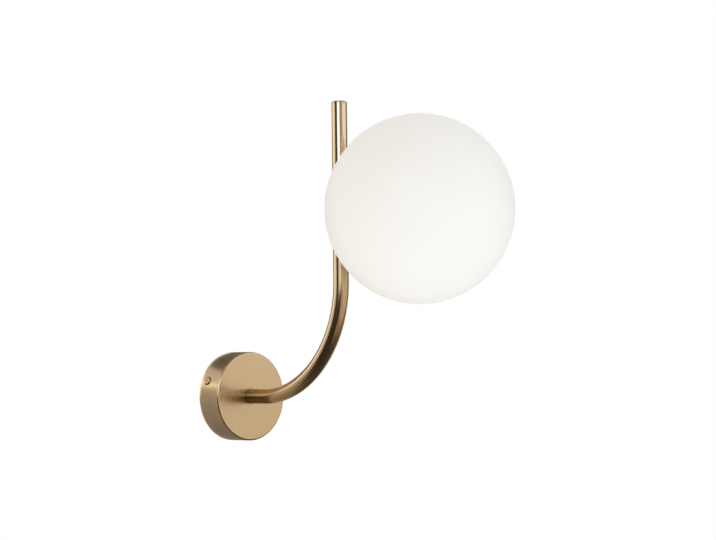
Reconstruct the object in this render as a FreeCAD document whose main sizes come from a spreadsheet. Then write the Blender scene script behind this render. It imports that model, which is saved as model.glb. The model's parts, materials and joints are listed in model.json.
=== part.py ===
import FreeCAD, Part
import math
import os
import re

import Sketcher

# Globe wall sconce. The wall is the plane Y = 0 and the lamp stands out from it towards -Y, with +Z up.
# The origin is the middle of the round canopy, on the wall.
# Depths called "out" are counted from the rod's axis towards -Y, along the globe's axis.

V = FreeCAD.Vector
doc = FreeCAD.newDocument("globe_wall_sconce")
sheet = doc.addObject("Spreadsheet::Sheet", "sizes")

# Driving sizes, in millimetres and degrees. Each one can be changed by itself.
SIZES = {
    # canopy on the wall
    "canopy_diameter": 100,
    "canopy_depth": 32,
    "canopy_wall": 2,
    "canopy_edge": 2,
    "wall_gap": 0.5,
    # side screws that clamp the canopy on the wall plate
    "screw_tilt": 21,
    "screw_setback": 11.25,
    "screw_hole_diameter": 10.5,
    "screw_standoff": 1.6,
    "screw_thread": 4,
    "screw_head_diameter": 8,
    "screw_head_height": 2.3,
    "screw_head_edge": 0.8,
    "screw_tip": 0.6,
    "screw_slot_width": 1.1,
    "screw_slot_length": 4.8,
    "screw_slot_depth": 1.3,
    "spotface": 0.4,
    "boss_diameter": 14,
    "boss_height": 3.7,
    # wall plate, a pressed pan inside the canopy
    "plate_sheet": 2,
    "rim_sheet": 1.5,
    "rim_clearance": 0.8,
    "rim_margin": 3.75,
    "slot_width": 5,
    "slot_length": 12,
    "slot_edge": 6,
    "cable_hole_diameter": 13,
    "cable_bore": 9,
    "bush_flange_width": 2.5,
    "bush_flange_height": 1.5,
    "earth_screw_rise": 26,
    "earth_boss_diameter": 14,
    "earth_boss_height": 5,
    "earth_screw_length": 6,
    "earth_washer_diameter": 9,
    "earth_washer_thickness": 0.8,
    # bent arm
    "tube_diameter": 17,
    "tube_wall": 1.5,
    "arm_stub": 23,
    "bend_radius": 125,
    "bend_to_globe": 72,
    "globe_to_top": 124,
    "cap_thickness": 2.5,
    "cap_chamfer": 1.2,
    "cap_plug_length": 8,
    "foot_plug_length": 14,
    "pipe_thread": 10,
    "lead_bore": 6.8,
    "thread_showing": 1,
    # stack under the arm's locknut
    "lock_washer_thickness": 1,
    "washer_width": 5,
    "strap_sheet": 1.2,
    "strap_width": 14,
    "strap_end": 2,
    "tag_sheet": 0.8,
    "tag_width": 3.5,
    "tag_reach": 15,
    "crimp_diameter": 4.2,
    "crimp_length": 6,
    "nut_flats": 14,
    "nut_height": 3,
    # terminal block
    "pole_pitch": 11,
    "block_height": 16,
    "block_depth": 16,
    "block_clearance": 3.2,
    "barrel_diameter": 5,
    "barrel_inset": 5,
    "barrel_end": 1,
    "terminal_screw_diameter": 2.8,
    "terminal_screw_inset": 4,
    "terminal_screw_recess": 0.5,
    "driver_slot_width": 0.6,
    "driver_slot_depth": 0.8,
    "block_screw_thread": 2.5,
    "block_screw_head": 4.5,
    "block_screw_head_height": 1.8,
    # leads
    "lead_diameter": 2.2,
    "lead_gap": 0.4,
    "lead_end_depth": 7,
    "lead_turn": 12,
    "lead_straight": 4,
    "lead_bow": 4,
    "lead_spread_back": 1,
    "lead_spread_front": 0.5,
    # globe fitting
    "spigot_collar_diameter": 14,
    "spigot_collar_length": 3,
    "spigot_tail_diameter": 8.4,
    "spigot_tail_length": 2.2,
    "gallery_sheet": 1.5,
    "gallery_rim": 1.2,
    "gallery_lip": 0.5,
    "gasket_thickness": 2,
    "gasket_inset": 0.1,
    "flat_washer_thickness": 1,
    # opal globe
    "globe_diameter": 200,
    "globe_wall": 3,
    "neck_diameter": 45,
    "neck_rise": 5,
    "neck_clearance": 0.4,
    # lampholder on its bracket
    "bracket_sheet": 1,
    "bracket_width": 16,
    "bracket_leg": 14,
    "holder_gap": 6,
    "holder_diameter": 20,
    "holder_length": 22,
    "holder_screw_thread": 3,
    "holder_screw_length": 4,
    "holder_screw_head": 5.4,
    "holder_screw_head_height": 1.8,
    "pin_pitch": 9,
    "contact_sheet": 0.5,
    "contact_width": 4.4,
    "contact_length": 13,
    "contact_room": 1.1,
    # capsule bulb
    "pin_wire": 0.8,
    "pin_loop_width": 3.2,
    "bulb_base_width": 14,
    "bulb_base_thickness": 9.5,
    "bulb_base_length": 10,
    "bulb_base_edge": 1.9,
    "bulb_collar_length": 2,
    "bulb_diameter": 17,
    "bulb_length": 34,
    "bulb_wall": 1,
    "core_diameter": 9,
    "core_length": 24,
    # fits, and how far a cutting tool runs past the face that it cuts
    "overcut": 1,
    "seat_gap": 0.3,
    "thread_gap": 0.05,
    "solder_gap": 0.05,
    "hole_gap": 0.2,
}

# Places worked out from the driving sizes and shared by pieces that meet.
SHARED = {
    "canopy_radius": "canopy_diameter / 2",
    "canopy_inside": "canopy_radius - canopy_wall",
    "canopy_floor": "canopy_depth - canopy_wall",
    "tube_radius": "tube_diameter / 2",
    "tube_inside": "tube_radius - tube_wall",
    "boss_foot": "canopy_inside - boss_height",
    "screw_seat": "canopy_inside - spotface",
    "screw_head_foot": "screw_seat + screw_standoff",
    "rim_outside": "boss_foot - rim_clearance",
    "rim_inside": "rim_outside - rim_sheet",
    "rim_depth": "screw_setback + rim_margin",
    "slot_middle": "rim_inside - slot_edge - slot_length / 2",
    "earth_seat": "plate_sheet + earth_boss_height",
    "pipe_radius": "pipe_thread / 2",
    "pipe_hole": "pipe_radius + hole_gap",
    "lock_washer_back": "canopy_floor - lock_washer_thickness",
    "strap_back": "lock_washer_back - strap_sheet",
    "tag_back": "strap_back - tag_sheet",
    "locknut_back": "tag_back - nut_height",
    "foot_back": "locknut_back - thread_showing",
    "block_width": "3 * pole_pitch",
    "block_foot": "sqrt(rim_inside ^ 2 - (block_width / 2) ^ 2) - block_clearance",
    "block_top": "block_foot - block_height",
    "block_back": "strap_back - block_depth",
    "barrel_axis": "block_back + barrel_inset",
    "block_screw_face": "barrel_axis + barrel_diameter / 2 + block_screw_head_height + seat_gap",
    "crimp_axis": "tag_back - crimp_diameter / 2 + tag_sheet",
    "lead_offset": "(lead_diameter + lead_gap) / 2",
    "lead_hole": "lead_diameter / 2 + seat_gap",
    "arm_reach": "canopy_depth + arm_stub + bend_radius",
    "globe_height": "bend_radius + bend_to_globe",
    "rod_top": "globe_height + globe_to_top",
    "gallery_back": "tube_radius + spigot_collar_length",
    "gallery_face": "gallery_back + gallery_sheet",
    "gasket_front": "gallery_face + gasket_thickness",
    "globe_pole": "gasket_front + neck_rise",
    "globe_radius": "globe_diameter / 2",
    "globe_reach": "globe_pole + globe_radius",
    "neck_radius": "neck_diameter / 2",
    "neck_inside": "neck_radius - globe_wall",
    "gallery_inside": "neck_radius + neck_clearance",
    "flat_washer_front": "gallery_face + flat_washer_thickness",
    "gallery_nut_front": "flat_washer_front + nut_height",
    "bracket_front": "gallery_nut_front + bracket_sheet",
    "bracket_nut_front": "bracket_front + nut_height",
    "spigot_end": "bracket_nut_front + thread_showing",
    "holder_back": "spigot_end + holder_gap",
    "holder_front": "holder_back + holder_length",
    "holder_radius": "holder_diameter / 2",
    "bracket_leg_end": "holder_back + bracket_leg",
    "holder_screw_out": "holder_back + bracket_leg / 2",
    "contact_front": "holder_front - contact_sheet",
    "holder_slot_width": "pin_wire + 2 * (contact_sheet + seat_gap + hole_gap)",
    "holder_screw_depth": "holder_screw_length - bracket_sheet + hole_gap",
    "contact_back": "contact_front - contact_length",
    "bulb_back": "holder_front + seat_gap",
    "bulb_neck": "bulb_back + bulb_base_length",
    "bulb_shoulder": "bulb_neck + bulb_collar_length",
    "pin_tip": "contact_back + contact_sheet + seat_gap + pin_wire / 2",
    "bulb_radius": "bulb_diameter / 2",
}


def fill_sheet():
    """Write every driving size into the sheet, under its own name."""
    for row, (name, number) in enumerate(SIZES.items(), start=1):
        sheet.set(f"A{row}", name)
        sheet.set(f"B{row}", str(number))
        sheet.setAlias(f"B{row}", name)
    doc.recompute()


def rule(text):
    """Spell out a formula so that every size in it is read from the sheet."""
    def spell(match):
        word = match[0]
        if word in SIZES:
            return f"sizes.{word}"
        if word in SHARED:
            return f"({rule(SHARED[word])})"
        return word
    return re.sub(r"[a-z_]+", spell, str(text))


def value(text):
    """The number that a formula gives now."""
    return float(sheet.evalExpression(rule(text)))


def bind(piece, **formulas):
    """Tie properties of a piece to formulas on the sheet."""
    for name, formula in formulas.items():
        piece.setExpression(name, rule(formula))


# directions of a cylinder or a turned piece, from its own +Z
TURNS = {
    "+Z": FreeCAD.Rotation(),
    "-Z": FreeCAD.Rotation(V(1, 0, 0), 180),
    "-Y": FreeCAD.Rotation(V(1, 0, 0), 90),
    "+Y": FreeCAD.Rotation(V(1, 0, 0), -90),
    "+X": FreeCAD.Rotation(V(0, 1, 0), 90),
    "-X": FreeCAD.Rotation(V(0, 1, 0), -90),
}


def place(piece, x=0, y=0, z=0):
    """Put a piece's own origin at a point given by formulas."""
    for axis, formula in (("x", x), ("y", y), ("z", z)):
        piece.setExpression(f"Placement.Base.{axis}", rule(formula))
    return piece


def spin_about_wall_axis(piece, tilt):
    """Turn a piece about the canopy's axis, from +X towards +Z, by a formula in degrees."""
    piece.Placement = FreeCAD.Placement(V(), FreeCAD.Rotation(V(0, -1, 0), 30))
    piece.setExpression("Placement.Rotation.Angle", rule(tilt))
    return piece


def bar(name, radius, length, x=0, y=0, z=0, toward="-Y"):
    """A plain round bar that starts at a point and runs one way."""
    piece = doc.addObject("Part::Cylinder", name)
    piece.Placement.Rotation = TURNS[toward]
    bind(piece, Radius=radius, Height=length)
    return place(piece, x, y, z)


def block(name, width, depth, height, x=0, y=0, z=0):
    """A box whose lowest corner is at a point: width along X, depth along Y, height along Z."""
    piece = doc.addObject("Part::Box", name)
    bind(piece, Length=width, Width=depth, Height=height)
    return place(piece, x, y, z)


def joined(name, *pieces):
    """Weld solids into one."""
    piece = doc.addObject("Part::MultiFuse", name)
    piece.Shapes = list(pieces)
    piece.Refine = True
    return piece


def gathered(name, *pieces):
    """Keep alike solids together, each one still a solid of its own."""
    piece = doc.addObject("Part::Compound", name)
    piece.Links = list(pieces)
    return piece


def cut(name, base, *tools):
    """Take one or more solids away from a solid."""
    piece = doc.addObject("Part::Cut", name)
    piece.Base = base
    piece.Tool = tools[0] if len(tools) == 1 else gathered(f"{name}_tools", *tools)
    piece.Refine = True
    return piece


def sketch_on(body, name, plane, lift=0):
    """A sketch on one of a body's own planes, lifted off it by a formula."""
    sketch = body.newObject("Sketcher::SketchObject", name)
    face = next(item for item in body.Origin.OriginFeatures if item.Role == plane)
    sketch.AttachmentSupport = [(face, "")]
    sketch.MapMode = "FlatFace"
    sketch.setExpression("AttachmentOffset.Base.z", rule(lift))
    return sketch


def pin_point(sketch, edge, end, across, along):
    """Hold one point of a sketch where two formulas say."""
    for kind, formula in (("DistanceX", across), ("DistanceY", along)):
        number = sketch.addConstraint(Sketcher.Constraint(kind, -1, 1, edge, end, value(formula)))
        sketch.setExpression(f"Constraints[{number}]", rule(formula))


def draw_polygon(sketch, corners):
    """Draw a closed outline of straight edges through corners given by formulas."""
    first = sketch.GeometryCount
    count = len(corners)
    points = [V(value(across), value(along), 0) for across, along in corners]
    for index in range(count):
        sketch.addGeometry(Part.LineSegment(points[index], points[(index + 1) % count]))
    for index in range(count):
        after = first + (index + 1) % count
        sketch.addConstraint(Sketcher.Constraint("Coincident", first + index, 2, after, 1))
    for index, (across, along) in enumerate(corners):
        pin_point(sketch, first + index, 1, across, along)


def draw_circle(sketch, across, along, radius):
    """Draw a circle whose middle and radius are formulas."""
    middle = V(value(across), value(along), 0)
    edge = sketch.addGeometry(Part.Circle(middle, V(0, 0, 1), value(radius)))
    pin_point(sketch, edge, 3, across, along)
    number = sketch.addConstraint(Sketcher.Constraint("Radius", edge, value(radius)))
    sketch.setExpression(f"Constraints[{number}]", rule(radius))


def turned(name, corners, axis="V_Axis"):
    """A body turned about its Y axis from (radius, y) corners, or about X from (x, radius) corners."""
    body = doc.addObject("PartDesign::Body", name)
    profile = sketch_on(body, f"{name}_profile", "XY_Plane")
    draw_polygon(profile, corners)
    turning = body.newObject("PartDesign::Revolution", f"{name}_turning")
    turning.Profile = profile
    turning.ReferenceAxis = (profile, [axis])
    turning.Angle = 360
    return body


def round_off(body, across, along, radius):
    """Round the circular edge of a turned body that lies at a radius and a Y given by formulas."""
    doc.recompute()
    turning = body.Tip
    circles = [
        f"Edge{number}" for number, edge in enumerate(turning.Shape.Edges, start=1)
        if isinstance(edge.Curve, Part.Circle)
        and math.hypot(edge.Curve.Radius - value(across), edge.Curve.Center.y - value(along)) < 0.001
    ]
    rounding = body.newObject("PartDesign::Fillet", f"{body.Name}_rounding")
    rounding.Base = (turning, circles)
    bind(rounding, Radius=radius)
    print(f"{body.Name}: rounded {circles}")


def ring(name, inside, outside, back, front):
    """A flat ring about the Y axis, between two distances out from its own origin."""
    return turned(name, [
        (inside, f"-({back})"), (outside, f"-({back})"), (outside, f"-({front})"), (inside, f"-({front})"),
    ])


def padded(name, length, start, corners):
    """A body pushed out towards -Y from an (x, z) outline that lies a distance out from its origin."""
    body = doc.addObject("PartDesign::Body", name)
    profile = sketch_on(body, f"{name}_profile", "XZ_Plane", start)
    draw_polygon(profile, corners)
    pad = body.newObject("PartDesign::Pad", f"{name}_pad")
    pad.Profile = profile
    bind(pad, Length=length)
    return body


def pocketed(body, name, sketch, depth):
    """Cut a sketch's outline into the solid on the side that its plane faces away from."""
    pocket = body.newObject("PartDesign::Pocket", name)
    pocket.Profile = sketch
    bind(pocket, Length=depth)
    return pocket


def hex_nut(name, back, hole):
    """A thin hexagon nut about the Y axis whose back face lies a distance out from its origin."""
    corner = "(nut_flats / sqrt(3))"
    corners = [(f"{corner} * cos({angle})", f"{corner} * sin({angle})") for angle in range(0, 360, 60)]
    body = padded(name, "nut_height", back, corners)
    drilling = sketch_on(body, f"{name}_drilling", "XZ_Plane", f"{back} + nut_height")
    draw_circle(drilling, 0, 0, hole)
    pocketed(body, f"{name}_hole", drilling, "nut_height")
    return body


def at_globe_axis(piece):
    """Put a turned piece's own origin where the globe's axis crosses the rod's axis."""
    return place(piece, 0, "-arm_reach", "globe_height")


def out(distance):
    """The Y of a point that lies a distance out from the rod's axis."""
    return f"-(arm_reach + {distance})"


def bent_path(points, radii):
    """Straight runs joined by tangent arcs: a corner at each inner point, with its own radius."""
    edges = []
    start = points[0]
    for before, corner, after, radius in zip(points, points[1:], points[2:], radii):
        inward = (corner - before).normalize()
        onward = (after - corner).normalize()
        turn = inward.getAngle(onward)
        trim = radius * math.tan(turn / 2)
        bend_start = corner - inward * trim
        bend_end = corner + onward * trim
        toward_middle = (onward - inward).normalize()
        middle = corner + toward_middle * (radius / math.cos(turn / 2) - radius)
        edges.append(Part.LineSegment(start, bend_start).toShape())
        edges.append(Part.Arc(bend_start, middle, bend_end).toShape())
        start = bend_end
    edges.append(Part.LineSegment(start, points[-1]).toShape())
    return Part.Wire(edges)


def swept_wire(name, points, radii, radius):
    """A round wire along a bent path, checked against its section times its length."""
    path = bent_path(points, radii)
    heading = points[1] - points[0]
    section = Part.Wire([Part.makeCircle(radius, points[0], heading)])
    solid = path.makePipeShell([section], True, False)
    expected = math.pi * radius ** 2 * path.Length
    print(f"{name}: length {path.Length:.1f}, radii {[round(bend, 1) for bend in radii]}, "
          f"volume {solid.Volume:.1f} of {expected:.1f}")
    return solid


def as_feature(name, shape):
    """Hold a ready shape as an object of the document."""
    piece = doc.addObject("Part::Feature", name)
    piece.Shape = shape
    piece.Placement = FreeCAD.Placement()
    return piece


def widest_bend(before, corner, after):
    """The radius that uses 0.45 of the shorter run beside a corner."""
    turn = (corner - before).getAngle(after - corner)
    shorter = min((corner - before).Length, (after - corner).Length)
    return 0.45 * shorter / math.tan(turn / 2)


def make_wall_plate():
    """The pressed steel pan on the wall: a disc with a rim, two slots, a cable hole and an earth boss."""
    pan = turned("wall_plate_pan", [
        (0, 0), ("rim_outside", 0), ("rim_outside", "-rim_depth"), ("rim_inside", "-rim_depth"),
        ("rim_inside", "-plate_sheet"), (0, "-plate_sheet"),
    ])
    boss = bar("plate_boss", "earth_boss_diameter / 2", "earth_seat", z="earth_screw_rise")
    blank = joined("wall_plate_blank", pan, boss)
    hollow = bar("plate_boss_hollow", "earth_boss_diameter / 2 - rim_sheet", "earth_seat - plate_sheet",
                 z="earth_screw_rise")
    tapping = bar("plate_boss_tapping", "screw_thread / 2 + thread_gap", "earth_seat", z="earth_screw_rise")
    cable_hole = bar("plate_cable_hole", "cable_hole_diameter / 2", "plate_sheet")
    slots = [plate_slot("left", -1), plate_slot("right", 1)]
    return cut("wall_plate", blank, hollow, tapping, cable_hole, *slots)


def plate_slot(side, sign):
    """A slot for one wall screw, with round ends, that runs along X."""
    half = "(slot_length / 2 - slot_width / 2)"
    middle = f"{sign} * slot_middle"
    ends = [
        bar(f"slot_{side}_{end}", "slot_width / 2", "plate_sheet", x=f"{middle} + {step} * {half}")
        for end, step in (("inner", -1), ("outer", 1))
    ]
    flank = block(f"slot_{side}_flank", f"2 * {half}", "plate_sheet", "slot_width",
                  f"{middle} - {half}", "-plate_sheet", "-slot_width / 2")
    return joined(f"slot_{side}", flank, *ends)


def make_cable_bush():
    """The rubber bush that is pushed into the cable hole from the front, flush with the wall."""
    barrel = "cable_hole_diameter / 2 - thread_gap"
    flange = "cable_hole_diameter / 2 + bush_flange_width"
    return turned("cable_bush", [
        ("cable_bore / 2", 0), (barrel, 0), (barrel, "-plate_sheet"), (flange, "-plate_sheet"),
        (flange, "-(plate_sheet + bush_flange_height)"),
        ("cable_bore / 2", "-(plate_sheet + bush_flange_height)"),
    ])


def make_earth_screw():
    """The plate's earth screw and the washer under its head."""
    washer = ring("earth_washer", "screw_thread / 2 + hole_gap", "earth_washer_diameter / 2",
                  "earth_seat", "earth_seat + earth_washer_thickness")
    place(washer, z="earth_screw_rise")
    screw = cross_head_screw("earth_screw", "earth_screw_length + earth_washer_thickness")
    screw.Placement.Rotation = FreeCAD.Rotation(V(0, 0, 1), -90)
    place(screw, y="-(earth_seat + earth_washer_thickness)", z="earth_screw_rise")


def cross_head_screw(name, shank):
    """A pan-head screw along its own X: the head's underside at the origin and the shank behind it."""
    edge = "screw_head_edge"
    head = "screw_head_diameter / 2"
    thread = "screw_thread / 2"
    body = turned(name, [
        (f"-({shank})", 0), (f"-({shank})", f"{thread} - screw_tip"), (f"-({shank}) + screw_tip", thread),
        (0, thread), (0, head), (f"screw_head_height - {edge}", head),
        ("screw_head_height", f"{head} - {edge}"), ("screw_head_height", 0),
    ], axis="H_Axis")
    slot = sketch_on(body, f"{name}_slot", "YZ_Plane", "screw_head_height")
    draw_polygon(slot, cross_corners("screw_slot_width / 2", "screw_slot_length / 2"))
    pocketed(body, f"{name}_cross", slot, "screw_slot_depth")
    return body


def cross_corners(narrow, wide):
    """The twelve corners of an upright cross."""
    quarter = [(wide, f"-({narrow})"), (wide, narrow), (narrow, narrow)]
    corners = []
    for _ in range(4):
        corners += quarter
        quarter = [(f"-({along})", across) for across, along in quarter]
    return corners


def make_canopy():
    """The turned brass canopy with its rounded front edge, drilled for the arm and the side screws."""
    rim = "-wall_gap"
    shell = turned("canopy_shell", [
        ("pipe_hole", "-canopy_floor"), ("canopy_inside", "-canopy_floor"), ("canopy_inside", rim),
        ("canopy_radius", rim), ("canopy_radius", "-canopy_depth"), ("pipe_hole", "-canopy_depth"),
    ])
    round_off(shell, "canopy_radius", "-canopy_depth", "canopy_edge")
    holes = [screw_hole(f"canopy_hole_{side}", tilt) for side, tilt in SCREW_TILTS.items()]
    return cut("canopy", shell, *holes)


# the two side screws face each other across the canopy
SCREW_TILTS = {"left": "180 - screw_tilt", "right": "-screw_tilt"}


def at_side_screw(piece, tilt):
    """Swing a piece that is drawn along +X out from the canopy's axis to a side screw's place."""
    spin_about_wall_axis(piece, tilt)
    return place(piece, y="-screw_setback")


def screw_hole(name, tilt):
    """The clearance hole that a side screw's head sits in, down to the seat on its boss."""
    tool = turned(name, [
        ("screw_seat", 0), ("screw_seat", "screw_hole_diameter / 2"),
        ("canopy_radius + overcut", "screw_hole_diameter / 2"), ("canopy_radius + overcut", 0),
    ], axis="H_Axis")
    return at_side_screw(tool, tilt)


def make_canopy_bosses():
    """The two threaded bosses inside the canopy that carry the side screws."""
    inside = bar("canopy_inside_space", "canopy_inside", "canopy_depth")
    bosses = []
    for side, tilt in SCREW_TILTS.items():
        blank = turned(f"boss_blank_{side}", [
            ("boss_foot", 0), ("boss_foot", "boss_diameter / 2"), ("canopy_radius", "boss_diameter / 2"),
            ("canopy_radius", 0),
        ], axis="H_Axis")
        at_side_screw(blank, tilt)
        shaped = doc.addObject("Part::Common", f"boss_shaped_{side}")
        shaped.Base = blank
        shaped.Tool = inside
        tapping = turned(f"boss_tapping_{side}", [
            ("boss_foot - overcut", 0), ("boss_foot - overcut", "screw_thread / 2 + thread_gap"),
            ("canopy_radius", "screw_thread / 2 + thread_gap"), ("canopy_radius", 0),
        ], axis="H_Axis")
        at_side_screw(tapping, tilt)
        seat = screw_hole(f"boss_seat_{side}", tilt)
        bosses.append(cut(f"boss_{side}", shaped, tapping, seat))
    return gathered("canopy_bosses", *bosses)


def make_side_screws():
    """The cross-head screws whose tips bear on the wall plate's rim, with their heads off the seats."""
    for side, tilt in SCREW_TILTS.items():
        screw = cross_head_screw(f"side_screw_{side}", "screw_head_foot - rim_outside - seat_gap")
        spin_about_wall_axis(screw, tilt)
        across, along = f"screw_head_foot * cos({tilt})", f"screw_head_foot * sin({tilt})"
        place(screw, across, "-screw_setback", along)


def make_arm_tube():
    """The bent brass tube: a stub out from the canopy, one wide quarter bend and the upright rod."""
    body = doc.addObject("PartDesign::Body", "arm_blank")
    stub = tube_section(body, "arm_stub_section", "XZ_Plane", "canopy_depth", 0)
    stub_pad = body.newObject("PartDesign::Pad", "arm_stub_pad")
    stub_pad.Profile = stub
    bind(stub_pad, Length="arm_stub")
    bend = tube_section(body, "arm_bend_section", "XZ_Plane", "canopy_depth + arm_stub", "-bend_radius")
    bend.setExpression("AttachmentOffset.Base.y", rule("bend_radius"))
    turning = body.newObject("PartDesign::Revolution", "arm_bend")
    turning.Profile = bend
    turning.ReferenceAxis = (bend, ["H_Axis"])
    turning.Angle = 90
    turning.Reversed = True
    rod = tube_section(body, "arm_rod_section", "XY_Plane", "bend_radius", "-arm_reach")
    rod_pad = body.newObject("PartDesign::Pad", "arm_rod_pad")
    rod_pad.Profile = rod
    bind(rod_pad, Length="rod_top - cap_thickness - bend_radius")
    hole = bar("arm_cross_hole", "spigot_tail_diameter / 2 + solder_gap", "tube_diameter",
               0, "-arm_reach", "globe_height")
    return cut("arm_tube", body, hole)


def tube_section(body, name, plane, lift, along):
    """The tube's round wall, drawn across the tube's run."""
    section = sketch_on(body, name, plane, lift)
    draw_circle(section, 0, along, "tube_radius")
    draw_circle(section, 0, along, "tube_inside")
    return section


def make_arm_end_cap():
    """The chamfered cap that closes the top of the rod, with its plug inside the tube."""
    plug = "tube_inside - solder_gap"
    rise = "(rod_top - cap_thickness)"
    profile = doc.addObject("PartDesign::Body", "arm_end_cap")
    sketch = sketch_on(profile, "arm_end_cap_profile", "XZ_Plane")
    draw_polygon(sketch, [
        (0, f"{rise} - cap_plug_length"), (plug, f"{rise} - cap_plug_length"), (plug, rise),
        ("tube_radius", rise), ("tube_radius", "rod_top - cap_chamfer"),
        ("tube_radius - cap_chamfer", "rod_top"), (0, "rod_top"),
    ])
    turning = profile.newObject("PartDesign::Revolution", "arm_end_cap_turning")
    turning.Profile = sketch
    turning.ReferenceAxis = (sketch, ["V_Axis"])
    turning.Angle = 360
    place(profile, y="-arm_reach")


def make_arm_foot():
    """The hollow threaded foot soldered into the tube, whose stud goes through the canopy."""
    plug = "tube_inside - solder_gap"
    bore = "lead_bore / 2"
    return turned("arm_foot", [
        (bore, "-foot_back"), ("pipe_radius", "-foot_back"), ("pipe_radius", "-canopy_depth"),
        (plug, "-canopy_depth"), (plug, "-(canopy_depth + foot_plug_length)"),
        (bore, "-(canopy_depth + foot_plug_length)"),
    ])


def make_arm_stack():
    """What clamps the arm inside the canopy: lock washer and locknut."""
    ring("arm_lock_washer", "pipe_hole", "pipe_hole + washer_width", "lock_washer_back", "canopy_floor")
    hex_nut("arm_locknut", "locknut_back", "pipe_radius + solder_gap")


def make_terminal_strap():
    """The steel strap under the locknut that carries the terminal block."""
    length = "(block_foot - strap_end)"
    eye = bar("strap_eye", "strap_width / 2", "strap_sheet", y="-strap_back")
    leg = block("strap_leg", "strap_width", "strap_sheet", length,
                "-strap_width / 2", "-lock_washer_back", f"-{length}")
    stud_hole = bar("strap_stud_hole", "pipe_hole", "strap_sheet", y="-strap_back")
    tapping = bar("strap_tapping", "block_screw_thread / 2 + thread_gap", "strap_sheet",
                  "pole_pitch / 2", "-strap_back", "-(block_top + block_height / 2)")
    return cut("terminal_strap", joined("strap_blank", eye, leg), stud_hole, tapping)


def make_earth_tag():
    """The ring tag under the locknut, with a crimp barrel for the earth lead."""
    eye = bar("tag_eye", "pipe_hole + tag_width", "tag_sheet", y="-tag_back")
    tongue = block("tag_tongue", "tag_reach", "tag_sheet", "tag_width",
                   0, "-strap_back", "-tag_width / 2")
    barrel = bar("tag_barrel", "crimp_diameter / 2", "crimp_length",
                 "tag_reach", "-crimp_axis", "-crimp_length / 2", toward="+Z")
    stud_hole = bar("tag_stud_hole", "pipe_hole", "tag_sheet", y="-tag_back")
    crimp = bar("tag_crimp", "lead_diameter / 2 + solder_gap", "crimp_length * 2 / 3",
                "tag_reach", "-crimp_axis", "-crimp_length / 2", toward="+Z")
    return cut("earth_tag", joined("tag_blank", eye, tongue, barrel), stud_hole, crimp)


POLES = {"live": -1, "neutral": 0, "earth": 1}


def terminal_screw_heights():
    """How far below the canopy's axis the two screws of each pole lie."""
    return {"upper": "block_top + terminal_screw_inset", "lower": "block_foot - terminal_screw_inset"}


def make_terminal_block():
    """The insulating block, open at the top and bottom for wires and at the back for its screws."""
    blank = block("terminal_blank", "block_width", "block_depth", "block_height",
                  "-block_width / 2", "-strap_back", "-block_foot")
    tools = []
    for pole, step in POLES.items():
        middle = f"{step} * pole_pitch"
        tools.append(bar(f"chamber_{pole}", "barrel_diameter / 2 + hole_gap", "block_height",
                         middle, "-barrel_axis", "-block_foot", toward="+Z"))
        for level, drop in terminal_screw_heights().items():
            tools.append(bar(f"access_{pole}_{level}", "terminal_screw_diameter / 2 + hole_gap",
                             "barrel_inset", middle, "-block_back", f"-({drop})"))
    middle = "pole_pitch / 2"
    drop = "-(block_top + block_height / 2)"
    tools.append(bar("block_screw_way", "block_screw_thread / 2 + hole_gap", "block_depth",
                     middle, "-block_back", drop))
    tools.append(bar("block_screw_bay", "block_screw_head / 2 + hole_gap", "block_screw_face - block_back",
                     middle, "-block_back", drop))
    return cut("terminal_block", blank, *tools)


def make_terminal_barrels():
    """The brass barrels that join the wires, each tapped for its two screws."""
    barrels = []
    for pole, step in POLES.items():
        middle = f"{step} * pole_pitch"
        blank = bar(f"barrel_blank_{pole}", "barrel_diameter / 2", "block_height - 2 * barrel_end",
                    middle, "-barrel_axis", "-(block_foot - barrel_end)", toward="+Z")
        bore = bar(f"barrel_bore_{pole}", "lead_hole", "block_height",
                   middle, "-barrel_axis", "-block_foot", toward="+Z")
        tapped = [
            bar(f"barrel_tapping_{pole}_{level}", "terminal_screw_diameter / 2 + thread_gap",
                "barrel_inset", middle, "-block_back", f"-({drop})")
            for level, drop in terminal_screw_heights().items()
        ]
        barrels.append(cut(f"barrel_{pole}", blank, bore, *tapped))
    return gathered("terminal_barrels", *barrels)


def make_terminal_screws():
    """Two slotted grub screws in each barrel, and the screw that holds the block on its strap."""
    tip = "(barrel_axis - lead_hole)"
    head = "(block_back + terminal_screw_recess)"
    screws = []
    for pole, step in POLES.items():
        for level, drop in terminal_screw_heights().items():
            shank = bar(f"grub_{pole}_{level}", "terminal_screw_diameter / 2", f"{tip} - {head}",
                        f"{step} * pole_pitch", f"-{head}", f"-({drop})")
            slot = block(f"grub_slot_{pole}_{level}", "terminal_screw_diameter", "driver_slot_depth",
                         "driver_slot_width", f"{step} * pole_pitch - terminal_screw_diameter / 2",
                         f"-({head} + driver_slot_depth)", f"-({drop}) - driver_slot_width / 2")
            screws.append(cut(f"grub_screw_{pole}_{level}", shank, slot))
    gathered("terminal_screws", *screws)
    middle = "pole_pitch / 2"
    drop = "-(block_top + block_height / 2)"
    head = bar("block_screw_top", "block_screw_head / 2", "block_screw_head_height",
               middle, "-(block_screw_face - block_screw_head_height)", drop)
    shank = bar("block_screw_shank", "block_screw_thread / 2",
                "lock_washer_back - block_screw_face", middle, "-block_screw_face", drop)
    slot = block("block_screw_slot", "block_screw_head", "driver_slot_depth", "driver_slot_width",
                 f"{middle} - block_screw_head / 2",
                 "-(block_screw_face - block_screw_head_height + driver_slot_depth)",
                 f"{drop} - driver_slot_width / 2")
    cut("block_screw", joined("block_screw_blank", head, shank), slot)


def point(x, y, z):
    """A point in space from three formulas."""
    return V(value(x), value(y), value(z))


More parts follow.
